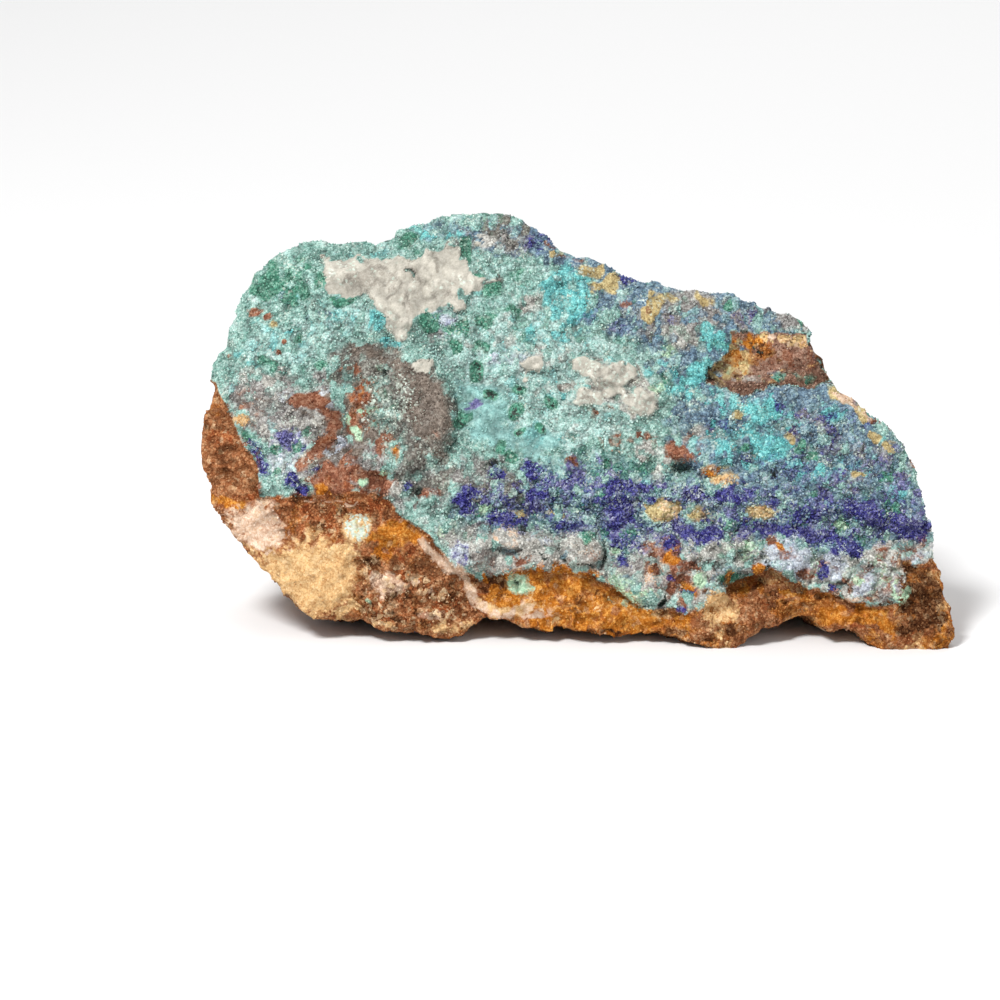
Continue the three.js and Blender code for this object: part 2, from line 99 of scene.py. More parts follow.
# Relief of the face. Lumps are ovals: place, size, width of the edge as a share of the size, rise.
faceRelief = {
    "crustEdge": [(-50.0, 36.9), (-48.3, 36.1), (-46.5, 33.2), (-45.0, 29.2), (-43.0, 25.8), (-42.1, 20.9),
                  (-27.0, 21.2), (-23.6, 18.5), (-19.6, 15.8), (-16.9, 11.8), (-12.9, 9.8), (-7.6, 11.0),
                  (-2.0, 11.0), (3.1, 9.4), (8.5, 5.8), (15.2, 5.1), (18.9, 7.5), (25.9, 11.5), (29.9, 9.1),
                  (36.6, 6.4), (42.6, 6.4), (44.0, 11.5), (50.0, 13.8)],
    "wobble": (3, 0.8, 5.5),  # grain, height, layer of the noise that bends the crust's edge and the lumps
    "setBack": [(-50, 0.5), (-42, 0.5), (-30, 0.6), (-24, 0.9), (-16, 1.4), (-5, 1.3), (10, 1.1), (22, 1.8),
                (30, 1.6), (38, 1.1), (50, 0.5)],
    "roughness": [(13, 0.9, 3.7), (5, 0.5, 8.2), (2.3, 0.45, 1.9)],  # grain, height, layer
    "lumps": [
        ((-23.6, 32.3), (7.0, 8.2), 0.2, 2.4),  # grey mound
        ((-37.0, 42.5), (9.4, 8.0), 0.9, 1.3),  # left shoulder
        ((-30.3, 23.4), (6.7, 2.9), 0.5, 1.1),  # red ledge
        ((-11.6, 31.0), (6.0, 6.4), 0.6, -1.1),  # smooth hollow
        ((-24.3, 48.3), (10.7, 5.0), 0.3, 0.7),  # calcite shelf
        ((-4.0, 42.0), (12.0, 9.0), 0.9, 1.0),  # middle swell
        ((4.8, 35.2), (5.6, 3.6), 0.35, 0.9),  # middle calcite
        ((16.8, 26.8), (4.2, 1.8), 0.5, 1.5),  # rusty ledge
        ((13.9, 24.7), (1.5, 1.1), 0.5, -2.0),  # recess under it
        ((34.0, 26.0), (11.0, 8.0), 0.9, 1.3),  # right swell
        ((4.0, 18.0), (21.0, 2.4), 0.5, -1.3),  # azurite groove
        ((34.0, 16.0), (12.0, 1.8), 0.5, -1.3),  # azurite hollow
        ((-9.0, 13.0), (7.4, 2.7), 0.4, 1.3),  # grey lobe
        ((-14.6, 13.2), (2.6, 2.4), 0.3, 1.2),  # its left end
        ((-8.9, 15.3), (2.1, 1.4), 0.25, 1.6),  # pink fragment
        ((0.6, 13.7), (2.5, 2.1), 0.2, 2.0),  # white fragment
        ((12.5, 10.5), (6.5, 4.4), 0.3, 1.0),  # mint lobe
        ((8.2, 9.4), (2.4, 2.2), 0.25, 1.0),  # its left lump
        ((12.8, 12.6), (2.4, 2.0), 0.25, 1.2),  # its rusty lump
        ((18.8, 13.6), (2.3, 1.6), 0.25, 1.3),  # its right lump
        ((27.8, 13.0), (2.9, 2.6), 0.2, 2.0),  # pale lobe
        ((34.2, 11.4), (2.0, 1.9), 0.3, 1.2),  # lump beside it
        ((39.5, 9.4), (4.8, 3.0), 0.3, 0.9),  # right lobe
        ((41.0, 12.8), (3.4, 1.5), 0.3, 1.2),  # lump above it
        ((22.0, 9.2), (2.9, 1.5), 0.3, -2.4),  # dark hole
        ((18.9, 3.4), (5.2, 5.0), 0.5, 1.7),  # middle foot
        ((45.0, 4.2), (6.5, 6.0), 0.5, 1.2),  # right foot
        ((-30.0, 4.0), (16.0, 6.0), 0.9, -0.8),  # left undercut
    ],
    "scar": [(19.9, 42.8), (30.6, 42.3), (31.5, 40.6), (33.7, 35.9), (29.9, 34.8), (26.6, 35.5),
             (22.6, 33.9), (19.9, 35.2), (17.2, 35.9), (17.6, 37.5), (19.5, 39.0), (20.1, 40.6)],
    "scarDepth": 1.9,
    "scarEdge": 0.5,
    "scarTilt": 0.75,  # how much shallower the scar is along its top
    "scarTop": (37.5, 42.5),
    "nodules": [  # place, size, rise
        ((-5.3, 14.9), (1.4, 1.1), 0.8), ((-7.4, 12.3), (2, 1.2), 0.7), ((-12.4, 14.8), (1.2, 1), 0.6),
        ((5.4, 10.6), (1.4, 1.2), 0.8), ((15.4, 10.4), (1.5, 1.3), 0.7), ((10.4, 7.4), (1.4, 1.1), 0.8),
        ((37.6, 9.5), (1.6, 1.3), 0.8), ((42.4, 8.2), (2, 1.6), 0.5), ((31, 10.9), (1.5, 1.2), 0.7),
        ((11.6, 18.9), (2.2, 1.2), 0.8), ((-24.3, 21.6), (1.6, 1.3), 0.8),
        ((-19.6, 20.6), (1.5, 1.2), 0.8), ((22, 14.6), (1.5, 1.1), 0.7), ((46, 13.4), (1.3, 1.2), 0.6),
        ((-0.9, 21.8), (1.2, 1), 0.5), ((14.3, 26.5), (1.6, 1), 0.7), ((17.6, 24.6), (1.5, 1), 0.7),
        ((-29.3, 16.6), (1.9, 1.9), 0.4), ((-25.2, 9), (2, 1.4), 0.6), ((24.3, 11.2), (1, 0.9), 0.9)],
    "cracks": [  # line, width, depth
        ([(-19.8, 38.6), (-17.2, 35.9), (-16.1, 33.4), (-16, 30.4)], 0.9, 0.6),
        ([(-36.1, 46), (-36.3, 42.6)], 0.8, 0.5), ([(-32.8, 27.7), (-30.8, 27.4)], 0.6, 0.5),
        ([(17.4, 37.8), (17.7, 36.4), (19.4, 35.4)], 0.8, 0.6), ([(24.2, 41.4), (24.6, 39.6)], 0.6, 0.5),
        ([(-11.4, 17.4), (-9, 17), (-6.8, 16.4)], 0.9, 0.7), ([(3.6, 15.2), (4, 13), (3, 11)], 1, 0.9),
        ([(5, 8), (8, 5.9), (11.4, 6.6)], 0.8, 0.6), ([(24.4, 14.8), (25.2, 12.4)], 0.8, 0.6),
        ([(30.6, 14.4), (31.6, 12.4), (30.8, 9.6)], 0.8, 0.6), ([(-27.8, 38.6), (-26.2, 36.8)], 0.5, 0.5),
        ([(-13.8, 41.4), (-12, 39.8)], 0.6, 0.5), ([(20, 30), (22.6, 29)], 0.5, 0.5)],
    # Bumps: spacing, seed of their places, width of a cap in cells, height of the least as a share of the
    # most, how far they are sunk and how high they stand.
    "rosettes": {"size": 1.15, "seed": 21.0, "width": 0.8, "least": 0.35, "sunk": 0.4, "height": 0.6},
    "swells": {"size": 2.7, "seed": 31.0, "width": 0.85, "least": 0.3, "sunk": 0.3, "height": 0.5,
               "lowerHeight": 1.2, "lowerPart": (24, 16)},  # more is added down the face
    "calciteLumps": {"size": 1.6, "seed": 3.0, "width": 0.85, "least": 0.5, "sunk": 0, "height": 0.8},
    "rosetteWander": (0.8, 0.25, 51.5),  # grain, amount, layer
    "grit": (0.9, 0.25, 15.2),  # grain, height, layer
    "calciteSwell": (2.6, 0.4, 17.2),
    "hacklyHeight": 0.6,  # of the bare stone
    "ballRise": 0.6,
    "ballSize": 0.75,  # radius of the dark malachite balls
    "balls": [(-12.1, 34.0), (-8.2, 32.0), (-3.4, 33.2), (-7.8, 34.8), (-15.1, 31.1), (-13.2, 37.2),
              (-4.9, 29.2), (-7.3, 29.2), (34.8, 16.6), (40.6, 23.2), (36.6, 15.1), (20.3, 16.9),
              (29.9, 27.2)],
}


# A smooth step: 0 up to low, 1 from high on, and between them three times the square of the share of the way
# less twice its cube.
def smoothstep(low, high, x):
    t = np.clip((x - low) / (high - low), 0, 1)
    return t * t * (3 - 2 * t)


# A repeatable value from 0 to 1 for a cell with whole-number indices: the fractional part of a large sine.
def cellValue(i, j, k):
    s = np.sin(i * 127.1 + j * 311.7 + k * 74.7) * 43758.5453
    return s - np.floor(s)


# Value noise from -1 to 1: the values at a cell's eight corners, blended with smooth weights.
def noise(x, y, z):
    x, y, z = np.broadcast_arrays(x, y, z)
    i, j, k = np.floor(x), np.floor(y), np.floor(z)
    a, b, c = (f * f * (3 - 2 * f) for f in (x - i, y - j, z - k))
    total = 0
    for di, wi in ((0, 1 - a), (1, a)):
        for dj, wj in ((0, 1 - b), (1, b)):
            for dk, wk in ((0, 1 - c), (1, c)):
                total = total + wi * wj * wk * cellValue(i + di, j + dj, k + dk)
    return 2 * total - 1


# Clumps: each place belongs to the nearest of a jittered set of points, one in each cell of the given size.
# Returns the distance to it in cells, and four values from 0 to 1 that all of its places share.
def clumps(x, y, z, size, seed):
    x, y, z = np.broadcast_arrays(x / size, y / size, z / size)
    nearest = np.full(x.shape, 9.0)
    owner = np.zeros((3,) + x.shape)
    for step in np.ndindex(3, 3, 3):
        i, j, k = (np.floor(axis) + offset - 1 for axis, offset in zip((x, y, z), step))
        centre = [n + 0.1 + 0.8 * cellValue(i, j, k + seed + shift) for shift, n in enumerate((i, j, k))]
        away = np.sqrt((x - centre[0]) ** 2 + (y - centre[1]) ** 2 + (z - centre[2]) ** 2)
        closer = away < nearest
        nearest = np.where(closer, away, nearest)
        owner = np.where(closer, (i, j, k), owner)
    i, j, k = owner
    return nearest, np.stack([cellValue(i, j, k + seed + 5.3 * n) for n in (1, 2, 3, 4)], -1)


# The sum of several noises, each with its grain, height and layer, which makes it a noise of its own.
def roughness(noises, a, b):
    return sum(height * noise(a / grain, b / grain, layer) for grain, height, layer in noises)


# Two noises, one for each axis, that make straight borders wander.
def wanderOf(settings, a, b):
    grain, amount, layer = settings
    return [amount * noise(a / grain, b / grain, layer + more) for more in (0, 1)]


# How far a place lies in a patch of noise, whose grain is given across and up: a smooth step of the noise.
def patchShare(u, v, grain, low, high, layer):
    return smoothstep(low, high, noise(u / grain[0], v / grain[1], layer))


# Round caps on clumps: one less the square of the distance over the cap's width, times a height of its own,
# less how far they are sunk.
def bumps(away, own, settings):
    cap = np.clip(1 - (away / settings["width"]) ** 2, 0, 1)
    return cap * (settings["least"] + (1 - settings["least"]) * own) - settings["sunk"]


# Broken steps: a slow noise cut into terraces, with a short slope between one and the next.
def ledgeHeight(ledges, a, b):
    level = ledges["steps"] * noise(a / ledges["grain"], b / ledges["grain"], ledges["layer"])
    terrace = np.floor(level) + smoothstep(*ledges["slope"], level - np.floor(level))
    return ledges["height"] / ledges["steps"] * terrace


# Broken facets: each place belongs to the nearest of a jittered set of points and lies on its tilted plane.
def facetHeight(facets, a, b):
    x, y = a / facets["size"], b / facets["size"]
    nearest = np.full(np.shape(x), 9.0)
    height = np.zeros(np.shape(x))
    for step in np.ndindex(3, 3):
        i, j = np.floor(x) + step[0] - 1, np.floor(y) + step[1] - 1
        dx, dy = x - i - 0.1 - 0.8 * cellValue(i, j, 1), y - j - 0.1 - 0.8 * cellValue(i, j, 2)
        p, q, r = (2 * cellValue(i, j, k) - 1 for k in (3, 4, 5))
        plane = facets["tilt"] * facets["size"] * (p * dx + q * dy) + facets["offset"] * r
        height = np.where(np.hypot(dx, dy) < nearest, plane, height)
        nearest = np.minimum(nearest, np.hypot(dx, dy))
    return height


# Points at the shares q of the way along a line, by length.
def along(points, q):
    line = np.array(points, float)
    lengths = np.append(0, np.cumsum(np.hypot(*np.diff(line, axis=0).T)))
    return np.stack([np.interp(q * lengths[-1], lengths, line[:, axis]) for axis in (0, 1)], -1)


# The height of a line over x, straight between its points.
def heightAt(points, x):
    line = np.array(points, float)
    return np.interp(x, line[:, 0], line[:, 1])


# Coons patch: the sheet between four sides, each side blended towards the one opposite, less the corners
# that this counts twice.
def coons(shape, s, t):
    left, top, right, bottom = (shape[side] for side in ("left", "top", "right", "bottom"))
    s1, t1 = s[..., None], t[..., None]
    corner = [np.array(point, float) for point in (left[0], right[0], left[-1], right[-1])]
    between = ((1 - s1) * along(left, t) + s1 * along(right, t)
               + (1 - t1) * along(bottom, s) + t1 * along(top, s))
    low = (1 - s1) * corner[0] + s1 * corner[1]
    high = (1 - s1) * corner[2] + s1 * corner[3]
    return np.moveaxis(between - (1 - t1) * low - t1 * high, -1, 0)


# Distance to the straight line from one point to another: to the nearest of its points.
def toSegment(start, end, u, v):
    dx, dy = end[0] - start[0], end[1] - start[1]
    share = np.clip(((u - start[0]) * dx + (v - start[1]) * dy) / (dx * dx + dy * dy), 0, 1)
    return np.hypot(u - start[0] - share * dx, v - start[1] - share * dy)


# Distance to the border of a closed outline, positive inside it. A place is inside where a line to the right
# of it crosses the border an odd number of times.
def insideOutline(points, u, v):
    nearest = np.full(np.shape(u), np.inf)
    inside = np.zeros(np.shape(u), bool)
    for start, end in zip(points[-1:] + points[:-1], points):
        nearest = np.minimum(nearest, toSegment(start, end, u, v))
        (x0, y0), (x1, y1) = start, end
        if y0 != y1:
            inside ^= ((y0 > v) != (y1 > v)) & (u < x0 + (v - y0) / (y1 - y0) * (x1 - x0))
    return np.where(inside, nearest, -nearest)


# Distance from an oval's middle, as a share of the way to its edge.
def ovalReach(u0, v0, halfWidth, halfHeight, u, v):
    return np.hypot((u - u0) / halfWidth, (v - v0) / halfHeight)


# How far a place lies inside an oval, about: the share of the way in, times the smaller half.
def insideOval(u0, v0, halfWidth, halfHeight, u, v):
    return (1 - ovalReach(u0, v0, halfWidth, halfHeight, u, v)) * min(halfWidth, halfHeight)


# How far a place lies inside a band of the given width that follows a line.
def insideBand(points, width, u, v):
    nearest = np.full(np.shape(u), np.inf)
    for start, end in zip(points[:-1], points[1:]):
        nearest = np.minimum(nearest, toSegment(start, end, u, v))
    return width / 2 - nearest
# The dark, middle and light shade of each mineral. They are painted over each other in this order.
minerals = {
    "druse": ("#598479", "#8eb4aa", "#bcd6cc"),  # blue-green micro crystals, the ground of the crust
    "paleMint": ("#86b0a8", "#abccc5", "#cde0da"),
    "scarStone": ("#5a4236", "#8a6655", "#b09482"),
    "steelBlue": ("#41566b", "#698397", "#9db4bb"),
    "lilacGrey": ("#6b6260", "#94908c", "#bcbdb9"),
    "smoothTeal": ("#6d9a97", "#88b5b0", "#a0cbc5"),
    "turquoise": ("#4a979c", "#6dbab9", "#92dad4"),
    "mauveGrey": ("#565049", "#7a756d", "#a5a69d"),
    "mauveBrown": ("#493e35", "#6c6056", "#8f8479"),
    "palePatch": ("#868079", "#b0aea7", "#d8d8d0"),
    "paleBlue": ("#8f95a6", "#b9c0ca", "#dae0e5"),
    "malachite": ("#255a49", "#4c8c74", "#90bca9"),
    "azurite": ("#1b194b", "#343180", "#6668a8"),
    "violet": ("#454172", "#6b689c", "#9c9bc0"),  # a thin dusting of azurite
    "ochre": ("#8c7650", "#b5a172", "#d6c897"),
    "rust": ("#5b3326", "#85543f", "#b0866d"),
    "calcite": ("#a19c90", "#b2ada1", "#c0bbaf"),
    # The next calcite colour is painted shade on the calcite: where it turns from the light, along its
    # cracks, and a duller tone over the middle patch.
    "calcitePaintedShade": ("#7d786e", "#948e83", "#ada89d"),
    "limonite": ("#62351e", "#925c3a", "#bd8e66"),
    "oxide": ("#642d16", "#96522f", "#c38859"),  # red iron oxide
    "amber": ("#713a12", "#a3622f", "#d09a5a"),
    "gold": ("#85460f", "#b16a24", "#dba050"),
    "cream": ("#b08051", "#d3ab77", "#e9c99a"),
    "blush": ("#bd9679", "#d2b49b", "#e7d2bd"),
    # Umber below is dark earth, and also painted shade under the crust's edge, in a recess and around the
    # dark hole.
    "umberAndShade": ("#2c1408", "#57331c", "#8c6646"),
    "mint": ("#85aa8c", "#acceae", "#d6e8ca"),
    "speck": ("#a3b0a2", "#c3cfc2", "#e0e8dc"),  # pale grains that catch the light, singly among the others
    "sandSpeck": ("#b08a60", "#d4b288", "#eed8b6"),
    "shadow": ("#141a17", "#2c332e", "#525c55"),  # open gaps and hollows
}
# How far each is free of sparkling grains, from 0 to 1.
smoothness = {"calcite": 1, "calcitePaintedShade": 1, "smoothTeal": 0.7, "cream": 0.75, "blush": 0.7, "rust": 0.6,
              "ochre": 0.6, "gold": 0.6, "scarStone": 0.6, "shadow": 0.5, "mauveBrown": 0.7}
earthy = ("limonite", "oxide", "amber", "gold", "umberAndShade", "rust", "ochre", "cream", "scarStone",
          "sandSpeck", "shadow")  # minerals without lustre
# Outlines and lines that two minerals share.
azuriteField = [(-12, 22.5), (-6, 24.5), (0, 24.5), (6, 23.5), (14, 22.4), (26, 21.8), (46, 20.5),
                (47, 15.5), (38, 13.6), (28, 15), (18, 14.5), (8, 13.5), (2, 16), (-8, 16.5), (-16, 17.5)]
darkEnd = [(43.4, 12), (47.4, 11), (48.8, 8), (48.6, 4), (46, 1.6), (42, 3), (42.4, 8)]
paleVein = [(-20.6, 14.6), (-18.6, 12.6), (-16.6, 11), (-14.6, 8.8), (-13, 7)]
paleStrip = [(25.4, 41.8), (28.2, 41.4), (31, 41.7)]
# Where each mineral shows on the face: an oval as (u, v, half width, half height), a band as (line, width) or
# an outline as (points). After these come the share of the grains that it takes there and the width of its
# fading edge. A negative share takes away.
zones = {
    "steelBlue": [
        ([(2, 50.5), (10.5, 49), (18, 47), (26, 45), (30, 43.5), (31.5, 40), (34, 36), (39, 32), (43.5, 27),
          (46, 21), (48, 15), (46, 14.5), (36, 18), (27, 20), (18, 22), (13, 26), (12, 31), (13, 35),
          (10, 40), (5, 44), (0, 48)], 0.72, 2.5),
        ([(-6, 56.5), (-1.5, 52.5), (6, 50), (14, 48), (24, 46)], 4, 0.8, 1.2),
        ([(-16, 25), (-8, 24), (0, 27), (10, 26), (20, 23), (34, 21), (47, 20), (47, 15), (38, 13),
          (28, 15), (14, 13), (4, 14), (-8, 16), (-17, 18)], 0.45, 2),
        (-11, 55.8, 6, 2.4, 0.65, 1.5), (-9, 55.4, 6, 2.4, 0.75, 1.2), (-17, 56.2, 7, 1.5, 0.5, 1),
        (-39, 47.6, 2.2, 1.6, 0.75, 0.8), (2.2, 45.5, 2.4, 2.6, 0.7, 1.2), (5.6, 43.4, 1.6, 1.4, 0.85, 0.8),
        (-33, 44.5, 5, 2, 0.3, 2), (12.4, 39, 5, 5, 0.26, 2.5),
        ([(-18, 17), (-10, 16.8), (0, 16.6), (8, 14), (10, 8), (3.1, 9.3), (-7.6, 10.9), (-12.9, 10),
          (-18, 13)], 0.3, 1.2),
        ([(8, 14), (20, 15.4), (30, 13.4), (38, 12), (47.6, 15.6), (47.6, 12.6), (42.6, 6.6), (29.9, 9.3),
          (18.9, 7.7), (10, 8)], 0.35, 1.2)],
    "lilacGrey": [
        ([(-17, 17.5), (-10, 16.8), (0, 16.6), (8, 14), (20, 15.4), (30, 13.4), (38, 12), (47.6, 15.6),
          (47.6, 12.6), (44.4, 10.8), (42.6, 6.6), (36.6, 6.6), (29.9, 9.3), (25.9, 11.6), (18.9, 7.7),
          (15.2, 5.3), (8.5, 6), (3.1, 9.3), (-7.6, 10.9), (-12.9, 10), (-16.9, 12)], 0.45, 0.7),
        (-13.5, 23.5, 4.5, 3, 0.5, 2),
        ([(-46.4, 36), (-33, 36.8), (-31.5, 31), (-35, 28), (-38, 27.2), (-44, 28.5),
          (-46, 33)], 0.75, 2.6),
        (-36.5, 30.5, 4.5, 3.5, 0.8, 1.5), (-30.5, 26, 4.6, 3.4, 0.85, 1.5), (-35, 24.5, 5, 2.6, 0.6, 1.5),
        (-22, 21.5, 5, 3, 0.6, 2), (17, 44, 9, 2.6, 0.55, 2), (14.8, 46.6, 4.6, 1.6, 0.8, 1),
        (-10.5, 55, 5, 2, 0.45, 1.5), (28.5, 44.2, 4, 1.2, 0.7, 1), (12.6, 44.8, 1.4, 1.8, 0.7, 0.8),
        (31, 30, 4.4, 3, 0.45, 2), (38.5, 24, 7, 5, 0.38, 3), (-18, 43, 1.6, 2, 0.5, 1),
        (-34.5, 34.5, 6, 3, 0.4, 2)],
    "smoothTeal": [
        ([(-16.4, 35.6), (-12, 36.2), (-9.4, 34), (-9, 31), (-5, 30), (-2.2, 29.2), (-2, 26.6), (-6, 25.8),
          (-10, 27.4), (-13.6, 28), (-15.4, 31)], 0.88, 1.2),
        (-11, 39.5, 3, 2.4, 0.4, 2), (-2, 24.8, 2, 1.2, 0.6, 1)],
    "turquoise": [
        (-0.9, 47.3, 3.6, 4.2, 0.75, 2), (-5, 42, 5, 2.6, 0.42, 2), (-5, 37, 6, 5, 0.25, 2),
        (-4.6, 28.4, 3, 1.8, 0.35, 1), (13.9, 35.9, 5.4, 2.9, 0.45, 2), (16.4, 37.5, 1.6, 1.8, 0.95, 0.8),
        (17.3, 42.7, 1.1, 1.3, 0.95, 0.5), (19, 41, 1.6, 1.6, 0.7, 1), (24.6, 32.2, 3, 2, 0.8, 1.2),
        (23.2, 28.9, 6.4, 4.8, 0.5, 2.5), (26, 27, 2.7, 1.9, 1, 0.8), (33.2, 24.2, 4.6, 1.8, 0.55, 1.5),
        (34.2, 31.7, 1.5, 1.2, 0.8, 0.8), (37.6, 25.2, 2.2, 1.2, 0.6, 1), (42.8, 21.3, 1.8, 1.6, 0.5, 1),
        (41.5, 28, 2, 2.2, 0.3, 1.5), (-26.7, 44.3, 1.5, 1.5, 0.95, 0.6), (-24.7, 41.3, 1.3, 0.9, 1, 0.4),
        (-18, 56.2, 4, 1.3, 0.4, 1.2), (-39.5, 41.5, 4, 3, 0.35, 2.5), (-44, 39, 2.4, 2, 0.3, 1.5),
        (-31.5, 45.2, 3, 2, 0.3, 2), (-38.6, 47.7, 1.4, 1.2, 0.7, 0.8), (19.5, 33, 4, 1.6, 0.5, 1.5),
        (-26, 53.6, 4, 1, 0.35, 1)],
    "mauveGrey": [
        ([(-32.3, 39.9), (-29.7, 40.8), (-25.6, 40.8), (-22.3, 39.4), (-19.6, 37.5), (-17.4, 35.4),
          (-16.5, 33.2), (-16.4, 29.9), (-16.9, 27.2), (-18.5, 25.4), (-23, 24.8), (-24.3, 27.8),
          (-25.6, 29.9), (-27, 33.2), (-27.4, 35.2), (-30.3, 36.9)], 0.8, 1.5),
        (-20, 23.6, 5, 3.4, 0.6, 2), (-8.8, 21.6, 1.6, 2.2, 0.6, 1), (-12, 22, 6, 2.5, 0.5, 2.5),
        (-31, 36.6, 3, 1.4, 0.6, 1), (-11.2, 49, 1.6, 0.8, 0.7, 0.5), (-1.5, 35.4, 0.9, 0.6, 0.95, 0.3),
        (-9.5, 56.2, 4.4, 2.2, 0.5, 1.2), (-26.6, 31.4, 3.2, 6, -0.45, 1.5)],
    "mauveBrown": [
        ([(-24.8, 38.8), (-22.6, 38.6), (-20, 37.2), (-18, 35.4), (-16.8, 33.2), (-16.6, 30.6),
          (-17.2, 28.4), (-18.8, 27.4), (-20.6, 28), (-22.4, 30.4), (-23.4, 33.4), (-24.6, 36)], 0.92, 0.6),
        (-26.8, 39.8, 3, 1, 0.7, 0.8), (-19.4, 26.6, 1.8, 0.9, 0.6, 0.6), (-21.4, 20.6, 1.6, 1.4, 0.5, 0.8),
        (-30.6, 27.4, 2.6, 1.6, 0.6, 0.8), (-28.8, 31.6, 2.8, 4.8, 0.85, 1.2),
        (-33.6, 29.6, 1.6, 1.4, 0.4, 0.8), ([(-14, 16), (-4, 16), (3, 15), (2, 10.4), (-7, 10.9),
          (-12.5, 10.4)], 0.22, 1.2),
        ([(-38.6, 34.6), (-32, 34.4), (-30.6, 30), (-31, 24.4), (-36, 23.6), (-38.4, 25.2),
          (-34, 29)], 0.6, 1.6),
        (-43, 32, 2.4, 2.6, 0.35, 1.5), (-25.6, 33, 2.6, 5, -0.4, 1.5)],
    "palePatch": [
        ([(-18, 17), (-12, 16), (-4, 16), (3, 16), (4, 12.5), (2, 10), (-7, 10.5), (-12.5, 10), (-16.5, 12),
          (-19, 15.5)], 0.6, 1.2),
        ([(8.5, 16), (18, 15.5), (20, 12), (19, 8), (15, 5.5), (9, 6), (4, 9), (5, 12)], 0.45, 1.5),
        ([(20, 15.4), (30, 13.6), (38, 12), (47.6, 15.6), (47.6, 12.6), (44.4, 10.8), (42.6, 7),
          (36.6, 6.8), (29.9, 9.5), (25.9, 11.8), (21, 10.8)], 0.5, 0.8),
        (-14.4, 13.4, 3, 2.4, 0.6, 1), (18, 13.5, 2.4, 1.5, 0.95, 0.8), (22, 14.6, 2, 1.2, 0.8, 0.8),
        (8.6, 10.4, 2, 1.4, 0.8, 0.8), (35, 9.8, 4.4, 3.2, 0.5, 1.2), (40.5, 12, 3.4, 1.6, 0.75, 1),
        (46.6, 13.3, 1.8, 1.6, 0.7, 0.8), ([(36, 11.6), (41, 14.3), (46.8, 16.1)], 1.1, 0.8, 0.4),
        ([(-2, 14.6), (-0.6, 15.6), (2.4, 15.2), (3.4, 13.6), (2.6, 11.8), (0.8, 11.4)], 0.9, 0.4),
        (-9.2, 15.3, 2.2, 1.5, 0.8, 0.4), (10.2, 26.5, 3.4, 2.2, 0.65, 1.5), (8, 22.5, 4.5, 2, 0.3, 2),
        (13.6, 42.2, 2.4, 1.8, 0.75, 1), (-5, 39, 3.4, 1.5, 0.45, 1.2), (-6.4, 46.3, 2, 1.4, 0.6, 1),
        (-12.1, 55.2, 2, 0.9, 0.5, 0.6), (-14, 41, 6, 1.6, 0.35, 1.5), (-41, 36.5, 4, 2.2, 0.45, 1.5),
        (-39.5, 32, 5.5, 3.2, 0.42, 1.5),
        ([(-0.4, 38.6), (1.6, 39.4), (3.6, 38.8), (8.4, 37.6), (9.4, 35.6), (11, 34), (10.2, 31.6),
          (6.4, 31.6), (4.6, 32.8), (-0.4, 33), (-0.6, 35), (2.6, 36)], 0.8, 0.8),
        (-3, 36, 5, 3, 0.25, 2.5), (-24.3, 21.6, 1.8, 1.3, 0.85, 0.6), (16.6, 29.2, 2.6, 1.2, 0.5, 1)],
    "paleBlue": [
        (-38.8, 26, 2.9, 3.2, 0.75, 1), (-31.9, 27.4, 1.8, 1.6, 0.6, 0.8), (27.8, 12.8, 3.2, 2.6, 0.95, 1),
        ([(30, 12.6), (36, 11), (43, 7.2), (46, 11.6), (47, 15), (41, 12), (36, 12.6), (31, 14)], 0.4, 1),
        (34.2, 11.6, 1.8, 1.8, 0.75, 0.8), (37.6, 9.5, 1.8, 1.5, 0.7, 0.8),
        (-17.6, 43.4, 1.4, 1.8, 0.65, 0.8), (-9.4, 38.8, 2.8, 1, 0.55, 0.8),
        (-15.4, 12.6, 1.6, 2, 0.6, 0.8), (-5.3, 15.2, 1.6, 1, 0.5, 0.6), (4.5, 21.5, 3, 1.2, 0.5, 1),
        (-36.6, 33, 4, 1.8, 0.3, 1.5), (12, 15.5, 3, 1, 0.4, 0.8)],
    "malachite": [
        (-39, 48.9, 4.8, 3.6, 0.6, 1.8), (-36, 51, 3.4, 1.8, 0.6, 1.5), (-34.1, 49.8, 1, 1.6, 0.95, 0.5),
        (-30.6, 46.7, 1.9, 0.9, 0.85, 0.6), (-22.8, 54.8, 1.9, 1.1, 0.85, 0.8),
        (-15, 53.5, 1, 1.8, 0.9, 0.5), (-13.2, 50.1, 0.8, 0.7, 0.8, 0.4), (-7.7, 50.4, 1.6, 1.2, 0.65, 0.8),
        (-19.3, 43.9, 1.8, 1, 0.95, 0.7), (-15.8, 43.3, 1.4, 1.1, 0.85, 0.7),
        (-11.9, 43.7, 1.2, 1, 0.8, 0.7), (-8.8, 45, 1.4, 0.9, 0.7, 0.7), (-15.9, 40.5, 0.9, 1.2, 0.9, 0.5),
        (-12.9, 40.8, 1, 0.8, 0.7, 0.5), (-10.5, 48, 1.6, 1, 0.6, 0.8), (-41.8, 38.1, 0.9, 0.9, 0.9, 0.5),
        (-40.4, 37.6, 1, 0.9, 0.9, 0.5), (-34, 38.1, 0.9, 0.7, 0.8, 0.4), (-36, 41, 1.4, 1, 0.5, 0.8),
        (-7, 42, 6, 4, 0.2, 2.5), (-10, 27, 1, 1, 0.9, 0.5), (-8.8, 25.8, 1, 0.9, 0.9, 0.5),
        (1.4, 21.8, 1, 0.9, 0.9, 0.4), (3.3, 19.9, 0.8, 0.8, 0.9, 0.4), (0.3, 19.3, 0.8, 0.7, 0.9, 0.4),
        (6.8, 15.8, 1.2, 0.8, 0.95, 0.4), (1.4, 15.5, 1.3, 0.9, 0.9, 0.5), (4.8, 16.2, 1.2, 0.8, 0.85, 0.5),
        (-12.5, 19, 1.3, 0.9, 0.9, 0.5), (1, 24, 6, 4, 0.35, 3), (8, 24.5, 6, 3, 0.3, 2.5),
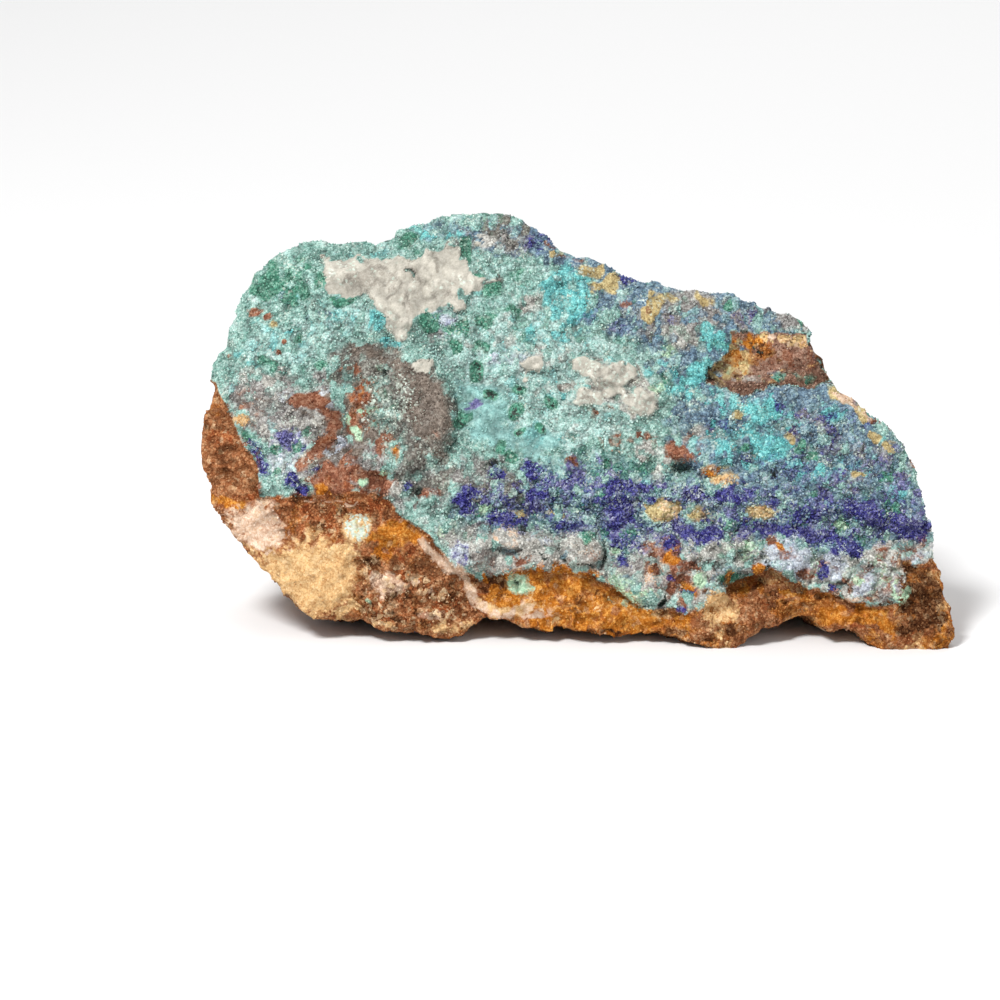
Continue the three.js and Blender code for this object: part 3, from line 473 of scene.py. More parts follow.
        (11.5, 35.4, 1.4, 1.6, 0.5, 0.8), (-5, 31, 7, 4, 0.14, 3), (20.3, 16.6, 1, 0.9, 0.9, 0.4),
        (29.7, 17.4, 1.2, 0.8, 0.7, 0.5), (37.6, 14.8, 1, 0.9, 0.8, 0.4), (41.4, 18.9, 1.6, 1.2, 0.8, 0.6),
        (31.4, 26.1, 0.9, 0.7, 0.8, 0.4), (22.6, 27.4, 0.8, 0.6, 0.9, 0.3), (20.7, 46.4, 1, 0.8, 0.7, 0.4),
        (29.5, 43.9, 0.9, 0.6, 0.8, 0.4), (2.2, 47.4, 0.9, 0.9, 0.7, 0.4), (35, 20, 9, 3, 0.25, 2),
        (-39.9, 27.1, 0.9, 0.9, 0.9, 0.3), (-37.6, 27.6, 0.8, 1.1, 0.85, 0.4),
        (-40.2, 24.2, 0.6, 0.6, 1, 0.2), ([(-47, 30.9), (-45.8, 29.9), (-43, 28.9)], 0.8, 0.85, 0.4),
        (-26, 32, 2.4, 5, 0.2, 1.5), (23.6, 9.1, 1.6, 0.8, 0.6, 0.5), (21, 9.6, 1.6, 0.8, 0.6, 0.5)],
    "azurite": [
        (azuriteField, 0.36, 1.6), ([(14, 24), (24, 27), (34, 27), (44, 26), (46.4, 20), (30, 20),
          (16, 21)], 0.24, 2), (-15, 19.7, 1.3, 1.8, 0.95, 0.8), (-9.4, 17.6, 2.8, 1.2, 0.95, 0.6),
        (-13.6, 21.2, 1.4, 0.9, 0.7, 0.6), (-10.8, 24, 1.2, 0.8, 0.75, 0.5), (-6, 24.2, 1.6, 1.3, 0.8, 0.7),
        (-4.2, 22.6, 1.6, 1.6, 0.7, 0.8), (-0.9, 22.6, 1.2, 1, 0.7, 0.6), (-6, 20.3, 1.6, 1.4, 0.7, 0.8),
        (-1.9, 17, 2, 1, 0.85, 0.6), (4.9, 21.4, 1.8, 1.4, 0.8, 0.7), (5.6, 18.9, 1.6, 2.2, 0.95, 0.7),
        (7.6, 21.8, 2.2, 1.2, 0.9, 0.7), (9.2, 20.6, 2.2, 0.8, 0.8, 0.6), (6.8, 14.6, 2.2, 1.7, 0.75, 0.7),
        (6.2, 12.8, 0.8, 1.4, 0.9, 0.5), ([(13.4, 16), (16, 15.4), (18.8, 15.4)], 1.9, 0.98, 0.6),
        ([(11.6, 15), (13.2, 13.6)], 1.2, 0.9, 0.4), ([(15.5, 20.7), (19.2, 21),
          (23, 20.8)], 1.8, 0.9, 0.7), ([(23.9, 16.6), (27, 16.2), (30.4, 16)], 1.6, 1, 0.5),
        ([(30.4, 15.8), (33.4, 15), (37, 13.6)], 2.6, 0.92, 0.7), ([(36.6, 18.9), (40.6, 17.8),
          (45.6, 15.9)], 2.6, 0.92, 0.7), (30, 18.6, 4, 1.2, 0.6, 0.8), (32.6, 11, 0.9, 0.9, 0.9, 0.4),
        (34, 8.4, 0.9, 0.6, 0.9, 0.4), (13.1, 9.8, 0.7, 0.6, 0.85, 0.3), (15, 8.2, 0.9, 0.5, 0.8, 0.3),
        (13.9, 5.8, 1, 0.5, 0.7, 0.4), (-7.4, 10.7, 0.9, 0.4, 0.8, 0.3), (-38.8, 28.6, 0.9, 0.8, 0.9, 0.4),
        (-36.6, 27, 0.6, 0.7, 0.8, 0.3), (-37.8, 22.8, 1.1, 1.1, 0.85, 0.4),
        (-36.6, 21.2, 0.9, 0.8, 0.95, 0.4), (-34.2, 24, 1.4, 0.4, 0.6, 0.3), ([(-43.2, 28.2), (-42.6, 26),
          (-42.2, 24.4)], 1.2, 0.85, 0.5), (-22.2, 21.8, 0.8, 0.8, 0.8, 0.4),
        (-13.9, 32.8, 0.6, 0.5, 0.5, 0.3), (2.2, 44.8, 1.2, 1.4, 0.2, 0.8), (5.6, 43.4, 1.2, 1, 0.3, 0.6),
        (18.6, 30.5, 2.6, 1, 0.35, 1), (27.4, 32.2, 1.6, 1.4, 0.3, 0.8), (32, 30, 5, 3, 0.25, 2),
        (38, 31.6, 2.6, 1.6, 0.35, 1), (22.8, 44.3, 2.4, 0.9, 0.3, 0.7), (12.5, 44.8, 1, 1.2, 0.25, 0.6),
        (46, 18, 1.4, 2.4, 0.45, 1), (-5, 55, 2, 1.4, 0.35, 0.8), (6.5, 49.6, 2, 0.8, 0.45, 0.6)],
    "violet": [
        (azuriteField, 0.2, 1.6), (0.5, 23.4, 4, 2.4, 0.5, 1.2), (11.6, 21.6, 4, 1.4, 0.45, 1),
        (33, 21.4, 5, 2.4, 0.32, 2), (43.6, 20, 3, 4, 0.35, 1.5), (40, 26.4, 3.4, 2.4, 0.25, 1.5),
        (-38.4, 28.4, 1.8, 1.4, 0.6, 0.8), (-13.9, 32.8, 1, 0.9, 0.9, 0.4),
        (-17.6, 43.4, 1.4, 1.8, 0.3, 0.8), (2.2, 44, 3, 1.6, 0.2, 1), (-15.6, 12.8, 1.6, 2, 0.35, 0.8)],
    "oxide": [
        (-28.6, 33.6, 2.2, 4.4, 0.22, 1.2), ([(-34.2, 33.2), (-32.6, 31), (-32.6, 28.9),
          (-34.2, 26.8)], 1.4, 0.25, 0.8), (-30, 23.2, 4.6, 2, 0.25, 1.2), ([(-28, 12), (-24, 11.6),
          (-20, 10.6), (-16, 8), (-14, 4), (-24, 3.4), (-28, 5)], 0.55, 1.2), ([(-41, 20.8), (-27, 21),
          (-24, 18.4), (-28, 14.6), (-36, 15.4), (-40, 17.4)], 0.6, 1.2), (-5, 9.2, 2.6, 1.2, 0.6, 0.8),
        (4, 4, 3, 1, 0.4, 0.8), (14, 4.6, 3, 1.4, 0.4, 1), (26, 7.4, 4, 1.4, 0.35, 1)],
    "ochre": [
        (1.7, 50.9, 1.9, 0.9, 0.95, 0.5), (4.8, 48.9, 1.4, 1.3, 0.9, 0.5), (2.6, 48.6, 1.2, 0.8, 0.85, 0.5),
        (10.4, 46.9, 1.4, 1.3, 0.95, 0.5), (9.6, 45.4, 1.5, 1.9, 0.95, 0.5),
        (16.8, 46.9, 1.6, 0.6, 0.8, 0.4), (12.6, 47.6, 1.2, 0.7, 0.6, 0.5), (6.6, 47.6, 1, 0.6, 0.5, 0.4),
        (-2.6, 53.2, 1, 0.7, 0.7, 0.4), ([(34.2, 34.3), (36.6, 32.7), (38.4, 31.2)], 1.6, 0.92, 0.6),
        (39.8, 28.9, 0.8, 1, 0.8, 0.4), (41.8, 27.4, 0.9, 0.9, 0.8, 0.4), (11.6, 18.9, 2.8, 1.7, 1, 0.5),
        (16.5, 18.4, 2, 1.2, 0.75, 0.6), (24.7, 18.9, 2.4, 1.2, 0.75, 0.6),
        (-2.2, 18.5, 1.5, 0.7, 0.7, 0.5), (-7.2, 18.6, 1.1, 0.6, 0.6, 0.4), (21.3, 31.3, 1, 0.6, 0.85, 0.4),
        (28.3, 28.6, 0.9, 0.7, 0.8, 0.3), (36.9, 23.4, 0.9, 0.7, 0.8, 0.3), (19.6, 23.6, 1.8, 1, 0.6, 0.6),
        (-28.6, 20.9, 2, 0.6, 0.7, 0.5), (-40, 43.4, 0.7, 0.6, 0.6, 0.4), (-15.6, 20.8, 1.6, 1, 0.3, 0.8)],
    "rust": [
        ([(-50.5, 36.5), (-47.5, 34), (-45.5, 31), (-42.6, 26.5), (-42, 21), (-45, 21), (-49, 22),
          (-50.5, 26)], 0.55, 0.8),
        ([(-37.4, 33.6), (-34.2, 33.2), (-32.6, 31), (-32.6, 28.9), (-34.2, 26.8), (-36.8, 25)], 2, 1, 0.7),
        ([(-35.4, 22.6), (-33.4, 25), (-29.5, 25.2), (-26.4, 24.4), (-23.4, 22), (-26, 20.4),
          (-34, 20.4)], 1, 0.7),
        (-28.2, 33.5, 1, 2.4, 0.85, 0.6), (-29.8, 30.6, 1.2, 1.6, 0.8, 0.6),
        (-43.6, 32.6, 1.8, 2.2, 0.35, 1), (-25.8, 27.6, 1.3, 2.2, 0.75, 0.7), (-30.5, 27, 3, 2, 0.35, 1.2),
        (-30.1, 37.4, 1.2, 0.8, 0.7, 0.4), (-19, 28.6, 1.2, 0.9, 0.25, 0.6),
        (-42.6, 45.4, 1.2, 0.9, 0.85, 0.4), (-41.2, 44.4, 0.8, 0.6, 0.8, 0.3),
        (-38.5, 41.1, 0.6, 0.5, 1, 0.2), (-38.9, 39.6, 0.5, 0.5, 0.9, 0.2), (-46, 40, 0.5, 0.8, 0.7, 0.3),
        (4, 31.7, 1.7, 0.7, 0.7, 0.7), (5, 28, 1.7, 1, 0.6, 0.8), (8.6, 28.7, 1.8, 0.8, 0.5, 0.8),
        (-0.5, 25.5, 1, 0.6, 0.85, 0.4), (14.2, 26.7, 2.3, 1.1, 0.9, 0.7), (14.8, 28.9, 1.9, 1, 0.45, 0.8),
        (6.2, 46.6, 0.9, 0.7, 0.7, 0.4), ([(-4.2, 55.2), (-1.6, 52.8), (0.4, 52.2)], 0.7, 0.55, 0.4),
        ([(34.4, 34.6), (37, 32.9), (39.2, 31.6), (41.8, 29.8)], 1.1, 0.45, 0.5), ([(44, 27.2),
          (45.4, 24.2), (46.6, 19.4)], 0.35, 0.7, 0.3), ([(31.4, 41.6), (33, 38.2),
          (34.4, 35.4)], 0.5, 0.7, 0.3), (9.4, 45.2, 0.7, 0.7, 0.25, 0.4), (12.2, 12.2, 1.8, 1.6, 0.8, 0.7),
        (14.9, 10.8, 1.4, 1, 0.7, 0.5), (10.4, 13.4, 1.4, 0.8, 0.7, 0.5), (26, 14.6, 1.4, 0.7, 0.8, 0.4),
        (30.4, 10.8, 1.3, 0.9, 0.8, 0.5), (41, 13.6, 1.8, 0.6, 0.6, 0.4), (43.6, 11.2, 1.8, 1, 0.7, 0.5),
        (36.8, 7.4, 2, 0.8, 0.5, 0.6), ([(9, 14.6), (13.6, 14.6), (17, 12), (17.6, 8), (14.6, 5.8), (11, 7),
          (9, 10)], 0.62, 1.2),
        ([(24, 13.4), (27, 11.6), (32, 10.6), (36, 8.6), (42, 7.2), (44, 9.4), (47.4, 13), (46, 15),
          (41, 13.6), (36, 10.8), (30, 13), (26, 15)], 0.4, 0.8),
        (-28.6, 32.8, 2, 3.4, 0.45, 1), (-19.6, 20.6, 1.4, 1.2, 0.5, 0.6),
        (-7.2, 12.4, 2.2, 0.9, 0.45, 0.6), (-12, 11.4, 2.4, 1, 0.4, 0.8), (2, 12.4, 1, 0.9, 0.5, 0.4),
        ([(-26, 17.5), (-21, 15.5), (-17.5, 11.5)], 1.6, 0.35, 0.8)],
    "calcite": [
        ([(-33.8, 52.9), (-31.6, 53.1), (-30, 52.7), (-27.6, 53), (-25.8, 52.5), (-23.8, 52.9), (-22, 52.2),
          (-20.3, 53.4), (-18.9, 53.4), (-17.5, 54.2), (-16.4, 53.7), (-15.9, 52.2), (-14.6, 51.6),
          (-13.6, 50.6), (-12.4, 49.9), (-12.4, 48.4), (-14, 47.9), (-15, 46.8), (-15.2, 45.8),
          (-17.2, 45.9), (-18.6, 45.2), (-20.3, 45.4), (-21.6, 44.4), (-22.6, 42), (-23.6, 41.8),
          (-25, 43.3), (-25.6, 45.2), (-27, 46.2), (-28.4, 47.2), (-31, 47.3), (-33, 47.6), (-33.8, 48.8),
          (-33.2, 50.2)], 1, 1.1),
        (-11, 49.2, 1.4, 0.6, 0.6, 0.5), (-22.6, 50.8, 0.7, 0.4, -0.9, 0.3),
        (-21.8, 50.3, 0.4, 0.5, -0.9, 0.3), (-15.4, 47.6, 0.5, 0.9, -0.8, 0.3),
        (1.2, 38, 1.6, 1.2, 0.85, 0.7), (5.2, 36.8, 2.9, 1.7, 0.85, 0.7), (1.8, 34, 2.3, 1.3, 0.85, 0.7),
        (8.2, 33.2, 2.3, 1.4, 0.85, 0.7), (5, 34.4, 1.6, 0.9, 0.8, 0.4), (-5.7, 38.3, 1.6, 0.8, 0.85, 0.4),
        (-7, 36.9, 0.7, 1, 0.7, 0.4), (-20.4, 38.1, 1.2, 0.7, 0.85, 0.4),
        (-12.9, 54.6, 1.6, 0.7, 0.42, 0.5)],
    "gold": [
        ([(-12, 10.2), (-7, 11.4), (-1, 11.4), (3.6, 9.8), (8, 8), (9, 5), (12, 2), (2, 2.5), (-4, 3),
          (-8, 4.5), (-12, 6)], 0.75, 1.2),
        ([(-48.6, 21), (-44.6, 20.6), (-44.2, 19.4), (-46.6, 18.8), (-48.8, 19.4)], 0.95, 0.5),
        (-24, 15.2, 3.6, 1.6, 0.85, 0.8), (-26, 13, 2, 1.2, 0.5, 0.8), (28, 8.4, 6, 1.4, 0.35, 1.2),
        (34, 5, 2.2, 1.4, 0.85, 0.8), (38.4, 5.2, 2.8, 1.6, 0.75, 0.8), (41, 2.6, 2.8, 1.6, 0.5, 1),
        (48, 4.4, 1.4, 3, 0.6, 0.8), (46.6, 1.6, 2.6, 0.9, 0.6, 0.6), (8, 4.6, 3, 1.4, 0.95, 0.8),
        (13.4, 3.6, 2.4, 1.6, 0.6, 0.8), (24.2, 11.2, 0.9, 0.8, 0.8, 0.3), (12.6, 12.6, 1.1, 0.9, 0.8, 0.6),
        (14.6, 8.6, 1.6, 1, 0.5, 0.8), (10.6, 11, 1.2, 1, 0.45, 0.8), (27, 13.9, 1.6, 0.6, 0.5, 0.5),
        (43, 12, 2, 1, 0.35, 0.8), (darkEnd, 0.28, 1), (22.2, 9.4, 2.6, 1.2, 0.6, 0.6),
        (17.6, 24.6, 1.3, 0.9, 0.7, 0.5), (-28.4, 34.4, 0.6, 0.9, 0.4, 0.4),
        (-24.4, 26, 0.7, 1.2, 0.4, 0.4), (-33.4, 21.4, 1.4, 0.9, 0.6, 0.5),
        (1.6, 51.3, 0.8, 0.4, 0.35, 0.3)],
    "cream": [
        ([(-43.4, 14.2), (-39, 13.8), (-35.6, 14.6), (-31, 14.4), (-29, 13.4), (-29, 9.5), (-29.6, 5.5),
          (-34, 4.6), (-37.5, 5.6), (-41, 9)], 0.95, 1.9),
        ([(-14.1, 8.3), (-11, 5.5), (-7.4, 5.2), (-5.6, 6.4)], 1.3, 0.9, 0.5), (-4, 6, 1.6, 0.9, 0.6, 0.5),
        (19, 5.4, 2.6, 2.4, 0.75, 1.2), (20, 2.2, 2, 1.2, 0.35, 0.8), (11, 4.9, 0.9, 0.5, 0.7, 0.4),
        (-34.6, 15.9, 1.2, 0.6, 0.75, 0.4), (-26, 3.8, 1.4, 0.6, 0.5, 0.5), (-16.6, 3.4, 3, 0.8, 0.45, 0.6),
        (19.6, 23, 1.3, 0.8, 0.7, 0.5), (-44.9, 30.8, 0.9, 0.6, 0.7, 0.4),
        (-29.2, 16.6, 2.2, 2.2, 0.85, 0.5)],
    "blush": [
        ([(-46.8, 18.2), (-44, 19.2), (-40.6, 19.4), (-39, 17), (-38, 14.6), (-41, 13.4),
          (-45, 14.6)], 0.95, 1.5),
        (paleVein, 1.4, 0.95, 0.7), ([(-13.2, 6.4), (-10.6, 4.8), (-6, 4.6), (-4, 5.4)], 1.2, 0.6, 0.6),
        (-6.4, 6.4, 1, 1, 0.5, 0.7), (-9.2, 15.3, 2, 1.3, 0.32, 0.4), (0.6, 13.9, 1.8, 1.3, 0.12, 0.6),
        (-25.2, 9, 2.3, 1.6, 0.85, 0.7), (-19.6, 8, 1, 0.6, 0.7, 0.4), (-21.6, 9.9, 0.7, 0.4, 0.8, 0.3),
        (-19.6, 4.7, 1.8, 0.6, 0.5, 0.5), ([(-37, 19.9), (-34, 20.1), (-31, 19.5),
          (-29, 19.9)], 0.35, 0.8, 0.2), (9.6, 9.6, 1.4, 0.9, 0.5, 0.5), (36.8, 7.6, 1.2, 0.5, 0.6, 0.3),
        ([(34.4, 34.2), (36.8, 32.6), (39, 31.2)], 0.9, 0.45, 0.4)],
    "umberAndShade": [
        ([(-29.2, 13.6), (-25, 12.4), (-20.5, 11.6), (-16, 8), (-13, 5.4), (-14, 3.4), (-24, 2.8),
          (-28.6, 4.4)], 0.34, 1),
        # Painted shade among these umber shapes: the oval at the left of the mint patch, the one in the
        # recess under the rusty ledge, and the bands below the dark hole and under the crust's edge at the
        # right.
        (darkEnd, 0.78, 1), (-10.6, 9.2, 1.7, 1.3, 0.7, 0.6), (paleVein, 1.6, -0.9, 0.4),
        (14.1, 24.7, 1.1, 0.6, 0.4, 0.4), (46, 4.4, 2.4, 1.6, 0.8, 0.7), (48, 3, 0.7, 0.9, 0.7, 0.3),
        ([(31.6, 41), (32.6, 38.5), (33.8, 35.9)], 1.4, 0.9, 0.4), ([(23, 7.4), (30, 8.2), (35, 6.8),
          (42, 6.6)], 0.7, 0.4, 0.5), ([(17, 8), (19.6, 6.8), (22.4, 7.6)], 0.8, 0.4, 0.4),
        (20.3, 2.8, 0.8, 0.6, 0.8, 0.3), (13, 2.6, 1.6, 1, 0.5, 0.6), ([(3.2, 3), (6, 3.2)], 0.5, 0.7, 0.2),
        (-33, 17.2, 2.6, 1.2, 0.4, 0.8), (-27, 11.6, 1.6, 1, 0.6, 0.6), (-28.6, 33.6, 1.8, 3.8, 0.24, 0.8),
        (-30, 22.8, 5, 2.2, 0.16, 0.8)],
    "mint": [
        (-29.2, 16.6, 1.5, 1.5, 0.4, 0.6), ([(-9.6, 9.6), (-8.4, 10.8), (-6.4, 10.6), (-6, 8), (-7, 7.2),
          (-8.6, 8.4)], 0.9, 0.5), (-31, 31, 0.9, 0.7, 0.6, 0.4), (-29.3, 29.5, 0.9, 0.8, 0.5, 0.4),
        (-27.4, 32.5, 1, 0.8, 0.6, 0.4), (-28.4, 23, 0.8, 0.7, 0.6, 0.3), (5.9, 9.2, 1.6, 1.2, 0.6, 0.8),
        (7.4, 7, 2.6, 1.2, 0.55, 0.8), (16.6, 9.8, 1.2, 1.1, 0.7, 0.6), (5.5, 13.5, 0.9, 0.6, 0.85, 0.3),
        (23.2, 14.4, 1.3, 0.8, 0.7, 0.5), (31.5, 13.9, 0.8, 0.7, 0.7, 0.4), (42.4, 7.8, 1.6, 1.3, 0.6, 0.8),
        (39, 10.4, 3.2, 2, 0.35, 1), (22, 13.6, 2.4, 1.4, 0.4, 0.8), (31.2, 12.6, 1, 1.8, 0.5, 0.5),
        (-12.2, 19.1, 0.6, 0.6, 0.8, 0.3), (-17, 16.8, 1, 0.8, 0.5, 0.5), (-25.6, 23.8, 0.6, 0.5, 0.6, 0.3),
        (34.9, 16.7, 0.6, 0.6, 0.9, 0.3), (10.4, 34.9, 0.9, 0.9, 0.6, 0.5),
        (12.6, 40.4, 1.1, 0.9, 0.6, 0.5), (-27.6, 6.8, 0.5, 0.4, 0.7, 0.2)],
    "paleMint": [
        ([(-14, 44), (-8, 47), (0, 45), (6, 42), (11, 38), (10, 32), (5, 28), (0, 26), (-6, 25), (-11, 28),
          (-16, 36), (-20, 40), (-17, 44)], 0.7, 3),
        ([(-45, 42), (-40, 43.6), (-33, 44), (-29, 42.4), (-32, 40), (-36, 38), (-44, 38)], 0.6, 2),
        (-31, 44, 4, 2, 0.5, 1.5), (-8, 51.5, 6, 2, 0.35, 1.5), (6, 31, 6, 3, 0.5, 2),
        (-16.5, 24.6, 3, 2, 0.45, 1.2), (10, 26, 4, 3, 0.5, 2), (-38.8, 26, 3, 3, 0.6, 1),
        ([(-17, 17), (0, 16.4), (8, 14), (20, 15), (30, 13.4), (38, 12), (47.6, 15), (44.4, 10.8),
          (42.6, 6.6), (36.6, 6.6), (29.9, 9.3), (25.9, 11.6), (18.9, 7.7), (15.2, 5.3), (8.5, 6),
          (3.1, 9.3), (-7.6, 10.9), (-12.9, 10), (-16.9, 12)], 0.5, 1)],
    # Painted shade on the calcite: where it turns from the light, along its cracks, and a duller tone over
    # the middle patch.
    "calcitePaintedShade": [
        (4.8, 35.6, 5.6, 3.6, 0.3, 1.5), (-27.4, 49.8, 3.8, 2.4, 0.75, 1.6),
        (-24.4, 50.2, 1.8, 1.6, 0.45, 0.8), (-23.2, 46.6, 2.6, 1.4, 0.35, 1),
        (-17.6, 48, 1.6, 1.4, 0.35, 0.8), ([(-22.6, 51.8), (-21, 49.4), (-22, 47)], 0.8, 0.5, 0.5),
        ([(-18.6, 52.4), (-18.2, 49.6), (-17, 46.8)], 0.6, 0.5, 0.4), ([(-30.6, 51.4),
          (-29.4, 48.8)], 0.6, 0.4, 0.4), ([(-27.4, 50.4), (-25.6, 48), (-23.4, 44.4)], 0.5, 0.4, 0.4),
        ([(2.6, 38.4), (3.4, 36.2), (7.4, 34.8)], 0.5, 0.6, 0.3), ([(0.6, 35.6), (5, 35.4),
          (8.6, 34.9)], 0.5, 0.5, 0.3)],
    "speck": [
        ([(-0.4, 39.2), (3.6, 39.4), (8.8, 38), (10.2, 35.6), (11.4, 34), (10.6, 31.2), (4.6, 32),
          (-0.8, 32.6), (-0.8, 35)], 0.22, 0.8),
        (-29.2, 16.6, 1.9, 1.9, 0.6, 0.4),
        ([(-14, 24.5), (-6, 24.5), (0, 26), (6, 24), (14, 22), (26, 21.6), (46, 19.5), (47, 15.5),
          (38, 13.2), (28, 15), (18, 14.5), (8, 13.5), (2, 16), (-8, 16), (-16, 17.5)], 0.13, 1.6),
        (-24.8, 33, 3.4, 5.4, 0.34, 2), (-19, 25, 5, 3, 0.2, 2), (-38, 24.4, 4, 3, 0.2, 1)],
    "sandSpeck": [
        ([(-29, 13), (-25, 12), (-20.5, 11), (-16, 8), (-14, 3.4), (-24, 2.8), (-28.6, 4.4)], 0.26, 1),
        ([(-50.5, 36), (-46, 32), (-43, 25), (-42, 21), (-49, 22), (-50.5, 26)], 0.12, 0.8),
        (-31, 17.6, 6, 2.6, 0.24, 1), (11.6, 18.9, 2.7, 1.6, 0.4, 0.5), (16.5, 18.4, 1.9, 1.1, 0.3, 0.5),
        (24.7, 18.9, 2.3, 1.1, 0.3, 0.5)],
    "shadow": [
        (14, 25.2, 1.2, 0.4, 0.2, 0.4), ([(-19.6, 38.4), (-17.2, 35.8), (-16.2, 33.4),
          (-16.1, 30.6)], 0.3, 0.35, 0.2), (-11.2, 24.8, 1.6, 0.5, 0.5, 0.4),
        (-22.3, 21.2, 1.2, 0.5, 0.5, 0.4), (-7.8, 20.6, 0.4, 1, 0.6, 0.3), ([(-11.4, 17.2), (-9, 16.9),
          (-7.2, 16.4)], 0.35, 0.6, 0.2),
        ([(-12.6, 15.4), (-10.8, 16.5), (-7.4, 16.6), (-6.2, 15.2), (-6.8, 13.7), (-9.4, 13.3),
          (-11.6, 13.8)], 0.35, 0.42, 0.25),
        ([(-15.8, 15.4), (-14.2, 14), (-13.4, 12)], 0.35, 0.4, 0.25), ([(-5.6, 13.6), (-4.6, 12),
          (-2.6, 11.4)], 0.35, 0.4, 0.25), ([(-2.4, 15.4), (-2.6, 13.4), (-1, 11.6),
          (1.6, 11.2)], 0.4, 0.5, 0.25), ([(17.4, 12), (19, 11.4), (20.6, 12.2)], 0.4, 0.5, 0.25),
        ([(24.9, 14.2), (24.6, 12.6), (25.6, 11.2)], 0.4, 0.55, 0.25), ([(36.6, 12.4), (36, 10.2),
          (37, 8.2)], 0.4, 0.5, 0.25), (-10, 56, 4, 1.8, 0.16, 1), (8.4, 14.4, 1.4, 0.6, 0.4, 0.4),
        ([(18.8, 9.4), (20.5, 10.2), (23, 10.4), (25, 10.6), (24.6, 8.8), (21.5, 8.2),
          (19.6, 7.8)], 0.12, 0.6),
        (-20.9, 21.2, 0.5, 0.8, 0.9, 0.3), (3.8, 12.6, 0.5, 1.2, 0.7, 0.3),
        (11.3, 6.8, 0.5, 0.8, 0.95, 0.2), (26, 23.6, 1.2, 0.3, 0.35, 0.2), ([(-36.1, 46),
          (-36.3, 42.6)], 0.35, 0.45, 0.3), ([(-32.8, 27.7), (-30.8, 27.4)], 0.3, 0.9, 0.15),
        (-39, 38, 0.4, 0.4, 0.8, 0.2), (-39.4, 37, 0.4, 0.3, 0.8, 0.2), (-26, 37, 0.4, 0.5, 0.9, 0.2),
        (35.7, 26.1, 0.5, 0.5, 0.35, 0.3), ([(17.4, 37.8), (17.6, 36.4), (19.4, 35.4)], 0.6, 0.85, 0.25),
        ([(24.2, 41.4), (24.6, 39.8)], 0.4, 0.6, 0.2), (-7.5, 9.6, 0.6, 0.35, 0.6, 0.3)],
}
# The scar shows the stone under the crust: brown with streaks, a pale strip along its top and golden grains
# at its left.
scarZones = {
    "gold": [
        (20.6, 40.6, 2, 1.8, 0.45, 0.8), (23.6, 41.6, 1.6, 1, 0.6, 0.5), (22.4, 38.8, 2.6, 1.4, 0.35, 1)],
    "ochre": [
        (20.4, 38.6, 3, 3, 0.65, 1.2), (19.8, 42.2, 1.2, 0.7, 0.7, 0.5), ([(24.6, 41.9), (28, 41.4),
          (31.2, 42)], 1.2, 0.5, 0.4)],
    "cream": [
        (paleStrip, 1.1, 0.32, 0.4)],
    "blush": [
        (paleStrip, 1, 0.3, 0.4)],
    "amber": [
        (20.4, 39.6, 2.6, 2.8, 0.22, 1.2), (24.4, 40.6, 1.4, 1.6, 0.5, 0.6)],
    "steelBlue": [
        (27.6, 36.6, 2.4, 1, 0.3, 0.8), (18.8, 36.6, 1.2, 0.8, 0.5, 0.5), (22, 40, 0.9, 1.2, 0.5, 0.5)],
    "malachite": [
        (28.6, 36.4, 2.6, 0.9, 0.4, 0.6), (21, 37, 1.6, 0.8, 0.3, 0.6)],
    "shadow": [
        ([(23.8, 41.8), (24.5, 40.2)], 0.4, 0.6, 0.2)],
    "palePatch": [
        (22.6, 36.6, 3, 1, 0.45, 0.8)],
    "mint": [
        (27, 36.6, 2, 0.8, 0.3, 0.8), (21.6, 41.2, 0.9, 0.7, 0.4, 0.5), (19.6, 37.4, 1.4, 0.8, 0.35, 0.6)],
    "rust": [
        (27.6, 39, 4, 1.6, 0.45, 1.2)],
}
# Each ball is malachite with a dark middle, and the left ones are darker.
for ball in faceRelief["balls"]:
    zones["malachite"].append((*ball, 1.0, 0.95, 1.0, 0.35))
    zones["shadow"].append((*ball, 0.6, 0.6, 0.65 if ball[0] < 0 else 0.2, 0.4))
# Minerals that are sprinkled over the whole crust, gathered in patches, with their share of the grains.
sprinkled = {"paleMint": 0.22, "malachite": 0.08, "turquoise": 0.06, "palePatch": 0.07, "lilacGrey": 0.03,
             "steelBlue": 0.03, "speck": 0.1, "shadow": 0.03}
# How the minerals mix on the face. A patch of noise has a grain across and up, the noise's values where the
# patch starts and where it is full, and a layer.
faceMix = {
    "shift": ((2.6, 0.6), (1.0, 0.45)),  # grain and amount of two noises that make the borders wander
    "shiftLayers": (40.5, 42.5),  # of the shift across and up
    "calciteEdge": [(0.9, 0.3, 53.5), (0.45, 0.25, 54.5)],  # grain, height, layer
    "thin": ((1.3, 1.3), -0.1, 0.5, 49.5),  # where some minerals are thinner
    "thinned": ("rust", "ochre", "mint", "paleBlue"),
    "thinnedBy": 0.35,
    "gathered": ((1.3, 1.3), 0.05, 0.5),  # patches of the sprinkled minerals, each in a layer of its own
    "gatheredLayer": 70.5,
    "gatheredShare": (0.35, 2.2),  # of a sprinkled mineral's share: outside its patches, and added in them
    "rightPart": (-12, 0),  # where the bare stone turns from brown to golden
    "amber": ((4, 3), -0.5, 0.3, 44.5),
    "umberAndShade": ((3.5, 2), 0.1, 0.6, 45.5),
    "rust": ((3, 3), -0.1, 0.5, 46.5),
    "oxide": ((3.2, 2.2), -0.1, 0.4, 50.5),
    "cream": ((2.8, 2.0), 0.1, 0.6, 60.5),
    "amberShare": (0.25, 0.55),  # at the left, and added at the right
    "umberShare": (0.36, 0.14),  # at the left, and taken off at the right
    "most": {"rust": 0.4, "sandSpeck": 0.09, "oxide": 0.55, "cream": 0.45},
    # Streaks in the scar: largest share, length, width, layer.
    "scarStreaks": {"cream": (0.3, 2.4, 0.5, 47.5), "umberAndShade": (0.35, 2.0, 0.6, 48.5)},
    "scarLine": 0.35,  # share of shadow in the line round the scar
}


# Raises a mineral's share to at least the given one.
def raiseTo(masks, name, share):
    masks[name] = np.maximum(masks[name], share)


